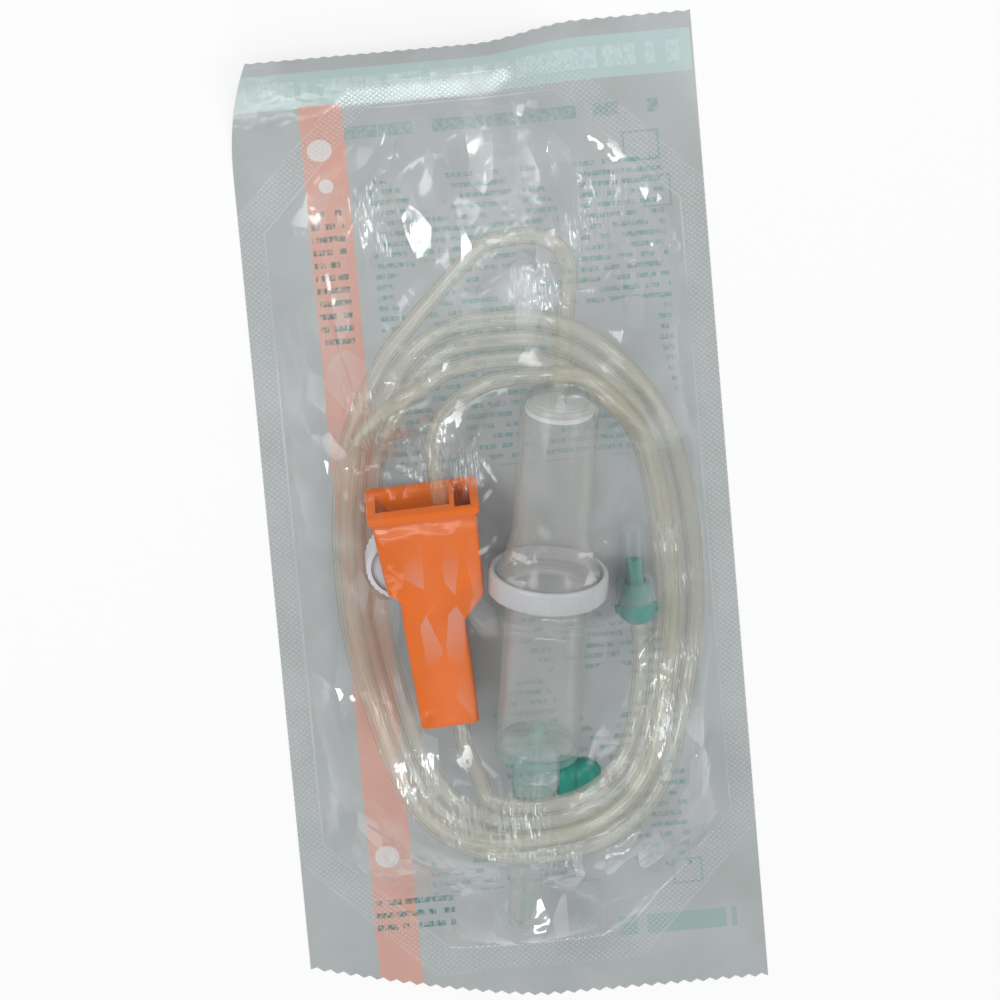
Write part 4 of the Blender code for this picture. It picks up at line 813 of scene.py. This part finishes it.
def floor_finish():
    """Pale floor that the camera sees nearly white, with the object's shadow kept."""
    nodes = Nodes("studio_floor")
    nodes.finish(Base_Color=(0.90, 0.90, 0.90), Roughness=0.9)
    glow = nodes.add("ShaderNodeEmission", Strength=1.0)
    path = nodes.add("ShaderNodeLightPath").outputs
    seen = nodes.maths("MAXIMUM", path["Is Camera Ray"], path["Is Transmission Ray"])
    share = nodes.times(seen, FLOOR_GLOW)
    mix = nodes.tree.nodes.new("ShaderNodeMixShader")
    nodes.feed(mix.inputs[0], share)
    nodes.tree.links.new(nodes.shader.outputs[0], mix.inputs[1])
    nodes.tree.links.new(glow.outputs[0], mix.inputs[2])
    output = next(node for node in nodes.tree.nodes if node.type == "OUTPUT_MATERIAL")
    nodes.tree.links.new(mix.outputs[0], output.inputs["Surface"])
    return nodes.material


# Places and paths

CHAMBER_ALONG = Vector((math.sin(CHAMBER_TURN), math.cos(CHAMBER_TURN), 0.0))
CLAMP_FRAME = (
    Matrix.Translation(CLAMP_FOOT) @ Matrix.Rotation(CLAMP_TURN, 4, "Z") @ Matrix.Rotation(CLAMP_TILT, 4, "X")
)
LUER_ALONG = Vector((math.sin(LUER_TURN), math.cos(LUER_TURN), 0.0))


def coil_edge(angle, edges):
    """Point of the coil's rounded oval at an angle in degrees from +X."""
    centre_x, centre_y = (edges["left"] + edges["right"]) / 2, (edges["top"] + edges["bottom"]) / 2
    half_x, half_y = (edges["right"] - edges["left"]) / 2, (edges["top"] - edges["bottom"]) / 2
    power = 2.0 / COIL_SQUARENESS
    cosine, sine = math.cos(math.radians(angle)), math.sin(math.radians(angle))
    x = centre_x + half_x * math.copysign(abs(cosine) ** power, cosine)
    y = centre_y + half_y * math.copysign(abs(sine) ** power, sine)
    return Vector((x, y, 0.0))


def coil_base(y):
    """Height under the turns, which climb over the two ends of the drip chamber."""
    climb = smooth_step((abs(y - COIL_MIDDLE_Y) - COIL_RISE_START) / (COIL_RISE_END - COIL_RISE_START))
    over = TUBE_RADIUS if y > COIL_MIDDLE_Y else SPIKE_CAP_COLLAR
    crest = RING_MIDDLE.z + over + TOUCH_GAP
    return REST_HEIGHT + climb * (crest - REST_HEIGHT)


def lane_spacing(angle):
    """Pitch of the strands that lie side by side at this angle."""
    width = (coil_edge(angle, COIL_OUTER) - coil_edge(angle, COIL_INNER)).length - TUBE_DIAMETER
    return min(width / 2, max(LEAST_PITCH * TUBE_DIAMETER, width / LANES_ACROSS))


def coil_spot(angle, lane, lift):
    """Middle of a strand on a lane counted from the inner edge, lifted above the lowest layer."""
    inner = coil_edge(angle, COIL_INNER)
    outer = coil_edge(angle, COIL_OUTER)
    across = (outer - inner).normalized()
    spot = inner + across * (TUBE_RADIUS + lane * lane_spacing(angle))
    middle = (inner + outer) / 2
    spot.z = coil_base(middle.y) + TUBE_RADIUS + lift
    return spot


def lower_lane(turn):
    """Lane of a lower turn: it steps one lane inwards past the top of each round."""
    angle = COIL_START + 360.0 * turn
    steps = 0.0
    for number in range(COIL_TURNS):
        start = SHIFT_START + 360.0 * number
        steps += smooth_step((angle - start) / (SHIFT_END - SHIFT_START))
    return COIL_TURNS - 1 - steps


def stations(first, last):
    """Even angles from the first to the last."""
    count = round((last - first) / STATION)
    return [first + (last - first) * step / count for step in range(count + 1)]


def winding():
    """Path of the wound turns, the last one on top of the others and clear of the roller."""
    spots = []
    rise_start = (SHIFT_START - COIL_START) / 360.0 + COIL_TURNS - 1
    rise_turns = (SHIFT_END - SHIFT_START) / 360.0
    for angle in stations(COIL_START, COIL_FINISH + 360.0 * COIL_TURNS):
        turn = (angle - COIL_START) / 360.0
        spacing = lane_spacing(angle)
        if turn <= rise_start:
            spots.append(coil_spot(angle, lower_lane(turn), 0.0))
            continue
        under = [lower_lane(turn - back) for back in range(1, COIL_TURNS) if turn - back >= 0]
        share = smooth_step((turn - rise_start) / rise_turns)
        lane = under[0] - 1.0 + RISE_LANES * share
        leave = smooth_step((angle - 360.0 * COIL_TURNS - LEAVE_START) / (COIL_FINISH - LEAVE_START))
        lane -= LEAVE_LANES * leave
        local = angle - 360.0 * (COIL_TURNS - 1)
        swerve = smooth_step((local - SWERVE_START) / SWERVE_EASE)
        swerve -= smooth_step((local - SWERVE_END) / SWERVE_EASE)
        lane += SWERVE_LANES * swerve
        lift = 0.0
        for other in under:
            apart = abs(lane - other) * spacing
            lift = max(lift, math.sqrt(max(0.0, (STACKED_PITCH * TUBE_DIAMETER) ** 2 - apart ** 2)))
        spots.append(coil_spot(angle, lane, lift))
    return spots


def tube_in_clamp_u(v):
    """How far the tube's middle lies off the clamp's axis, so that it rests on the sloping back wall."""
    slope = (CHANNEL_BACK_TOP - CHANNEL_BACK_LOW) / CHANNEL_BACK_KNEE
    return CHANNEL_BACK_LOW + slope * min(v, CHANNEL_BACK_KNEE) - TUBE_RADIUS - TUBE_BACK_GAP


def in_clamp(v):
    """Middle of the tube at a height in the clamp."""
    return CLAMP_FRAME @ Vector((tube_in_clamp_u(v), v, 0.0))


def smooth_path(points):
    """Even points on a smooth curve through the given ones."""
    points = [Vector(point) for point in points]
    fine = []
    count = len(points)
    for index in range(count - 1):
        before, start = points[max(index - 1, 0)], points[index]
        end, after = points[index + 1], points[min(index + 2, count - 1)]
        for part in range(PATH_PARTS):
            t = part / PATH_PARTS
            fine.append(0.5 * (
                2 * start + (end - before) * t
                + (2 * before - 5 * start + 4 * end - after) * t ** 2
                + (3 * start - before - 3 * end + after) * t ** 3
            ))
    fine.append(points[-1])
    line = np.array(fine)
    for _ in range(PATH_SMOOTHING):
        line[1:-1] = line[1:-1] / 2 + (line[:-2] + line[2:]) / 4
    run = np.concatenate(([0.0], np.cumsum(np.linalg.norm(np.diff(line, axis=0), axis=1))))
    marks = np.linspace(0.0, run[-1], round(run[-1] / PATH_STEP) + 1)
    return np.stack([np.interp(marks, run, line[:, axis]) for axis in range(3)], axis=1)


def long_tube_path():
    start = RING_MIDDLE + CHAMBER_ALONG * (OUTLET_SOCKET + TOUCH_GAP)
    past = RING_MIDDLE + CHAMBER_ALONG * (OUTLET_END + TUBE_DIAMETER)
    into_clamp = (in_clamp(CLAMP_LENGTH), in_clamp(INNER_TUBE_HIGH + TOUCH_GAP))
    return smooth_path((start, past, *LEAD_ROUTE, *winding()[1:], *TO_CLAMP_ROUTE, *into_clamp))


def short_tube_path():
    out_of_clamp = (in_clamp(INNER_TUBE_LOW - TOUCH_GAP), in_clamp(-TUBE_RADIUS))
    strand = []
    for angle in stations(INNER_LANE_START, INNER_LANE_END):
        lane = -INNER_LANE_PITCH * TUBE_DIAMETER / lane_spacing(angle)
        strand.append(coil_spot(angle, lane, 0.0))
    into_luer = (LUER_FOOT, LUER_FOOT + LUER_ALONG * LUER_SOCKET)
    return smooth_path((*out_of_clamp, *FROM_CLAMP_ROUTE, *strand, *TAIL_ROUTE, *into_luer))


# Tubing, swept by Geometry Nodes

def sweep_tree(material):
    """Sweeps an outer wall and a bore along a path."""
    tree = bpy.data.node_groups.new("swept_tube", "GeometryNodeTree")

    def add(kind, **sources):
        node = tree.nodes.new(kind)
        for name, source in sources.items():
            tree.links.new(source, node.inputs[name.replace("_", " ")])
        return node

    inputs = {"Path": "Geometry", "Outer radius": "Float", "Bore radius": "Float", "Sides": "Int"}
    for name, kind in inputs.items():
        tree.interface.new_socket(name, in_out="INPUT", socket_type="NodeSocket" + kind)
    tree.interface.new_socket("Tube", in_out="OUTPUT", socket_type="NodeSocketGeometry")
    entry = add("NodeGroupInput").outputs
    walls = []
    for radius in ("Outer radius", "Bore radius"):
        circle = add("GeometryNodeCurvePrimitiveCircle", Resolution=entry["Sides"], Radius=entry[radius])
        sweep = add("GeometryNodeCurveToMesh", Curve=entry["Path"], Profile_Curve=circle.outputs["Curve"])
        sweep.inputs["Fill Caps"].default_value = True
        walls.append(sweep.outputs["Mesh"])
    walls[1] = add("GeometryNodeFlipFaces", Mesh=walls[1]).outputs["Mesh"]
    join = add("GeometryNodeJoinGeometry")
    for wall in walls:
        tree.links.new(wall, join.inputs["Geometry"])
    last = join
    for kind in ("SetShadeSmooth", "RealizeInstances", "SetMaterial"):
        last = add("GeometryNode" + kind, Geometry=last.outputs["Geometry"])
    last.inputs["Material"].default_value = material
    add("NodeGroupOutput", Tube=last.outputs["Geometry"])
    return tree


def swept_tube(name, path, tree, body):
    """A length of tube as a plain mesh, swept along its path."""
    curve = bpy.data.curves.new(name, "CURVE")
    curve.dimensions = "3D"
    spline = curve.splines.new("POLY")
    spline.points.add(len(path) - 1)
    for spot, point in zip(spline.points, path):
        spot.co = (*point, 1.0)
    guide = placed(name + "_guide", curve)
    modifier = guide.modifiers.new("sweep", "NODES")
    modifier.node_group = tree
    sizes = {"Outer radius": TUBE_RADIUS, "Bore radius": TUBE_BORE_RADIUS, "Sides": TUBE_SIDES}
    for item in tree.interface.items_tree:
        if item.in_out == "INPUT" and item.name in sizes:
            modifier[item.identifier] = sizes[item.name]
    graph = bpy.context.evaluated_depsgraph_get()
    mesh = bpy.data.meshes.new_from_object(guide.evaluated_get(graph))
    mesh.name = name
    bpy.data.objects.remove(guide)
    piece = placed(name, mesh)
    piece.visible_diffuse = False
    piece.visible_glossy = False
    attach(piece, body)
    return piece


# Mouldings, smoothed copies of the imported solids

def refined(node, name, material, slot, smooth_angle=38.0, bevel=0.0, segments=2):
    """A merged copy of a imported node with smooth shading, softened edges and its own finish."""
    form = bmesh.new()
    form.from_mesh(frame["nodes"][node].data)
    bmesh.ops.remove_doubles(form, verts=form.verts, dist=MERGE_DISTANCE)
    bmesh.ops.dissolve_limit(form, angle_limit=FLAT_ANGLE, verts=form.verts, edges=form.edges)
    mesh = bpy.data.meshes.new(name)
    form.to_mesh(mesh)
    form.free()
    mesh.materials.clear()
    mesh.materials.append(material)
    piece = placed(name, mesh)
    if bevel:
        rounding = piece.modifiers.new("soft_edges", "BEVEL")
        rounding.width = bevel
        rounding.segments = segments
        rounding.limit_method = "ANGLE"
        rounding.angle_limit = math.radians(smooth_angle)
        rounding.miter_outer = "MITER_ARC"
        graph = bpy.context.evaluated_depsgraph_get()
        finished = bpy.data.meshes.new_from_object(piece.evaluated_get(graph))
        piece.modifiers.clear()
        piece.data = finished
    piece.data.shade_smooth()
    piece.data.set_sharp_from_angle(angle=math.radians(smooth_angle))
    body = next(b for b, members in frame["record"]["behaviour"]["bodies"].items() if node in members)
    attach(piece, body)
    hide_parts(node)
    return piece


# Pouch sheets

def outline_bottom(x):
    """Foot edge of the sheets, which slants up on the left."""
    along = np.clip((POUCH_HALF_WIDTH + x) / SLANT_WIDTH, 0.0, 1.0)
    return POUCH_BOTTOM + SLANT_RISE * (1.0 - along) ** SLANT_BEND


def curled(x, y, most, fade):
    """Lift, or sideways draw, of the curled corner at the top left."""
    reach = np.clip((y - CURL_START_Y) / (POUCH_TOP - CURL_START_Y), 0.0, None)
    return most * reach ** 2 * smooth_step((CURL_END_X - x) / fade)


def seal_distances(x, y):
    """Distance inside the pocket's octagon, negative on the seal."""
    side = POCKET_HALF_WIDTH - np.abs(x)
    end = np.where(y > 0, POCKET_TOP - y, y - POCKET_BOTTOM)
    diagonal = math.hypot(POCKET_CORNER_X, POCKET_CORNER_Y)
    corner = (side * POCKET_CORNER_Y + end * POCKET_CORNER_X - POCKET_CORNER_X * POCKET_CORNER_Y) / diagonal
    return np.minimum(np.minimum(side, end), corner)


def sheet_grid():
    """Points of both sheets, close enough together to cut the toothed ends."""
    columns = TEETH * TOOTH_COLUMNS
    across = np.linspace(-POUCH_HALF_WIDTH, POUCH_HALF_WIDTH, columns + 1)
    tooth = np.abs((np.arange(columns + 1) / TOOTH_COLUMNS + 0.5) % 1.0 - 0.5) * 2.0
    low = POCKET_BOTTOM + SEAL_ROW_INSET
    high = POCKET_TOP - SEAL_ROW_INSET
    foot = outline_bottom(across) + TOOTH_DEPTH * tooth
    head = POUCH_TOP - TOOTH_DEPTH * 0.5 * tooth
    middle = SHEET_ROWS - 2 * SEAL_ROWS
    rows = [foot + (low - foot) * (step / SEAL_ROWS) for step in range(SEAL_ROWS)]
    rows += [np.full(columns + 1, low + (high - low) * step / middle) for step in range(middle + 1)]
    rows += [high + (head - high) * step / SEAL_ROWS for step in range(1, SEAL_ROWS + 1)]
    y = np.array(rows)
    x = np.broadcast_to(across, y.shape).copy()
    return x, y


def content_tree(pieces):
    """One search tree of what the film lies on, the roller along its whole travel."""
    vertices, faces = [], []
    joint = frame["joints"][0]
    travel = Vector(joint["axis"]).normalized() * ROLLER_TRAVEL
    graph = bpy.context.evaluated_depsgraph_get()
    for piece in pieces:
        mesh = piece.evaluated_get(graph).to_mesh()
        stops = ROLLER_STOPS if piece.get("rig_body") == joint["child"] else 0
        for stop in range(stops + 1):
            shift = travel * stop / max(stops, 1)
            offset = len(vertices)
            vertices += [piece.matrix_world @ vertex.co + shift for vertex in mesh.vertices]
            faces += [[offset + index for index in polygon.vertices] for polygon in mesh.polygons]
    return BVHTree.FromPolygons(vertices, faces)


def grow(heights, drop):
    """The highest neighbour less a drop, for a whole grid."""
    grown = heights.copy()
    for shift_row, shift_column in ((0, 1), (0, -1), (1, 0), (-1, 0), (1, 1), (1, -1), (-1, 1), (-1, -1)):
        moved = np.roll(heights, (shift_row, shift_column), (0, 1))
        grown = np.maximum(grown, moved - drop * math.hypot(shift_row, shift_column))
    return grown


def neighbours(heights):
    """Mean of the four next points, for a whole grid."""
    padded = np.pad(heights, 1, mode="edge")
    return (padded[:-2, 1:-1] + padded[2:, 1:-1] + padded[1:-1, :-2] + padded[1:-1, 2:]) / 4


def crease_field(x, y):
    """Sharp little folds in the patches where the film is crumpled."""
    rng = np.random.default_rng(CREASE_SEED)
    field = np.zeros_like(x)
    for middle_x, middle_y, reach, heading, number, height in CREASE_PATCHES:
        for _ in range(number):
            spot_x = (middle_x + rng.normal(0.0, reach / 2)) / 1000
            spot_y = (middle_y + rng.normal(0.0, reach / 2)) / 1000
            angle = math.radians(heading + rng.normal(0.0, CREASE_HEADING_SPREAD))
            half_length = rng.uniform(*CREASE_HALF_LENGTH) / 1000
            half_width = rng.uniform(*CREASE_HALF_WIDTH) / 1000
            tall = height * rng.uniform(*CREASE_HEIGHT_SHARE) / 1000 * rng.choice(CREASE_SIGNS)
            along = (x - spot_x) * math.cos(angle) + (y - spot_y) * math.sin(angle)
            across = (y - spot_y) * math.cos(angle) - (x - spot_x) * math.sin(angle)
            across = across + CREASE_WAVE * np.sin(along / CREASE_WAVE_LENGTH + rng.uniform(0.0, 6.0))
            ridge = np.clip(1.0 - np.abs(across) / half_width, 0.0, 1.0)
            ends = np.clip(1.0 - (along / half_length) ** 2, 0.0, 1.0)
            field += tall * ridge * ends
    return field


def patch_weight(x, y, patches):
    """Soft round patches, as given by their first three values in millimetres."""
    weight = np.zeros_like(x)
    for middle_x, middle_y, reach, *_ in patches:
        apart = np.hypot(x - middle_x / 1000, y - middle_y / 1000) / (reach / 1000)
        weight = np.maximum(weight, np.clip(PATCH_EDGE - apart, 0.0, 1.0))
    return weight


def film_heights(x, y, contents):
    """Height of the film over the paper."""
    inside = seal_distances(x, y)
    tree = content_tree(contents)
    down = Vector((0.0, 0.0, -1.0))
    lift = np.zeros_like(x)
    for row in range(x.shape[0]):
        for column in range(x.shape[1]):
            if inside[row, column] <= 0.0:
                continue
            hit = tree.ray_cast(Vector((x[row, column], y[row, column], RAY_HEIGHT)), down)[0]
            if hit:
                lift[row, column] = hit.z + FILM_GAP - PAPER_THICK
    needed = grow(lift, 0.0)
    pillow = FILM_PILLOW * smooth_step(inside / FILM_PILLOW_REACH)
    floor = np.maximum(needed, np.where(inside > 0.0, pillow, 0.0))
    heights = floor.copy()
    step = 2 * POUCH_HALF_WIDTH / (TEETH * TOOTH_COLUMNS)
    for _ in range(FILM_BRIDGE):
        heights = grow(heights, FILM_BRIDGE_SLOPE * step)
    for _ in range(FILM_FALL):
        heights = grow(heights, FILM_SLOPE * step)
        heights = np.where(inside > 0.0, np.minimum(heights, floor + FILM_SEAL_SLOPE * inside), 0.0)
        heights = np.maximum(heights, needed)
    for _ in range(FILM_SETTLING):
        heights = np.maximum(floor, (heights + neighbours(heights)) / 2)
        heights = np.where(inside > 0.0, heights, 0.0)
    heights = heights + crease_field(x, y) * smooth_step(inside / CREASE_SEAL_REACH)
    for _ in range(FILM_SOFTENING):
        heights = np.where(inside > 0.0, np.maximum(needed, (2 * heights + neighbours(heights)) / 3), 0.0)
    return np.maximum(heights, 0.0)


def sheet_piece(name, x, y, lower, thickness, materials, attributes):
    """A sheet as a closed thin shell, with per-point values for its finish."""
    row_count, column_count = x.shape
    count = row_count * column_count
    top = np.stack([x, y, lower + thickness], axis=2).reshape(-1, 3)
    bottom = np.stack([x, y, lower], axis=2).reshape(-1, 3)
    index = np.arange(count).reshape(row_count, column_count)
    a, b = index[:-1, :-1].ravel(), index[:-1, 1:].ravel()
    c, d = index[1:, 1:].ravel(), index[1:, :-1].ravel()
    upper_faces = np.stack([a, b, c, d], axis=1)
    lower_faces = np.stack([d, c, b, a], axis=1) + count
    border = np.concatenate([index[0, :], index[1:, -1], index[-1, -2::-1], index[-2:0:-1, 0]])
    after = np.roll(border, -1)
    rim = np.stack([after, border, border + count, after + count], axis=1)
    faces = np.concatenate([upper_faces, lower_faces, rim])
    mesh = bpy.data.meshes.new(name)
    mesh.from_pydata(np.concatenate([top, bottom]).tolist(), [], faces.tolist())
    for key, values in attributes.items():
        layer = mesh.attributes.new(key, "FLOAT", "POINT")
        layer.data.foreach_set("value", np.tile(values.ravel(), 2).astype(np.float32))
    for material in materials:
        mesh.materials.append(material)
    if len(materials) > 1:
        side = np.zeros(len(faces), dtype=np.int32)
        side[len(upper_faces):len(upper_faces) + len(lower_faces)] = 1
        mesh.polygons.foreach_set("material_index", side)
    mesh.shade_smooth()
    mesh.set_sharp_from_angle(angle=SHEET_SHARP_ANGLE)
    piece = placed(name, mesh)
    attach(piece, "set")
    return piece


# Assembly

def build_tubing():
    tube = tube_finish()
    tree = sweep_tree(tube)
    long_path = long_tube_path()
    short_path = short_tube_path()
    inner_path = smooth_path([in_clamp(v) for v in (INNER_TUBE_LOW, CHANNEL_BACK_KNEE, INNER_TUBE_HIGH)])
    long_tube = swept_tube("long_tube", long_path, tree, "set")
    short_tube = swept_tube("short_tube", short_path, tree, "set")
    clamped_tube = swept_tube("clamped_tube", inner_path, tree, "set")
    return (long_tube, long_path), (short_tube, short_path), clamped_tube


def build_mouldings():
    finishes = {name: see_through(name, *values) for name, values in WALLS.items()}
    finishes |= {name: moulded(name, *values) for name, values in SOLIDS.items()}
    finishes["filter_membrane"] = filter_finish()
    return [
        refined(node, name, finishes[finish], slot, **edges)
        for node, name, finish, slot, edges in MOULDINGS
    ]


def build_floor():
    form = bmesh.new()
    bmesh.ops.create_grid(form, x_segments=1, y_segments=1, size=FLOOR_HALF_WIDTH)
    mesh = bpy.data.meshes.new("studio_floor")
    form.to_mesh(mesh)
    form.free()
    mesh.materials.append(floor_finish())
    floor = placed("studio_floor", mesh)


def build_pouch(contents):
    x, y = sheet_grid()
    inside = seal_distances(x, y)
    curl = curled(x, y, CURL_RISE, CURL_FADE)
    heights = film_heights(x, y, contents)
    free = smooth_step(inside / FREE_SEAL_REACH)
    rng = np.random.default_rng(CREASE_SEED + 1)
    uneven = SCUFF_AND_GLINT_LEAST + (1.0 - SCUFF_AND_GLINT_LEAST) * rng.random(x.shape)
    crumple = free * (CRUMPLE_LEAST + (1.0 - CRUMPLE_LEAST) * patch_weight(x, y, CREASE_PATCHES[:-1]))
    # Scuffed spots, where painted glints streak the film
    scuff_and_glint = free * patch_weight(x, y, SCUFFS_AND_GLINTS) * uneven
    x = x + curled(x, y, CURL_DRAW, CURL_DRAW_FADE)
    paper = sheet_piece("paper_backing", x, y, curl, PAPER_THICK, [paper_finish()], {})
    film_base = curl + PAPER_THICK + FILM_OVER_PAPER + heights
    values = {"crumple": crumple, "scuff_and_glint": scuff_and_glint}
    faces = [film_finish(), film_inner_finish()]
    film = sheet_piece("film_front", x, y, film_base, FILM_THICK, faces, values)
    film.visible_shadow = False
    film.visible_diffuse = False
    film.visible_glossy = False
    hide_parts("pouch_paper")
    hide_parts("pouch_film")


def main():
    place_camera()
    (long_tube, long_path), (short_tube, short_path), clamped_tube = build_tubing()
    mouldings = build_mouldings()
    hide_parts("tubing_lead", "tubing_coil", "tubing_to_clamp")
    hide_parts("tubing_from_clamp", "tubing_tail")
    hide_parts("tubing_in_clamp")
    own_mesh(clamped_tube)
    build_pouch(mouldings + [long_tube, short_tube, clamped_tube])
    build_floor()
    light_studio()
    bpy.context.scene.view_settings.view_transform = "Standard"
    light_paths = bpy.context.scene.cycles
    light_paths.transparent_max_bounces = 40
    light_paths.max_bounces = 2
    light_paths.diffuse_bounces = 1
    light_paths.glossy_bounces = 1


main()
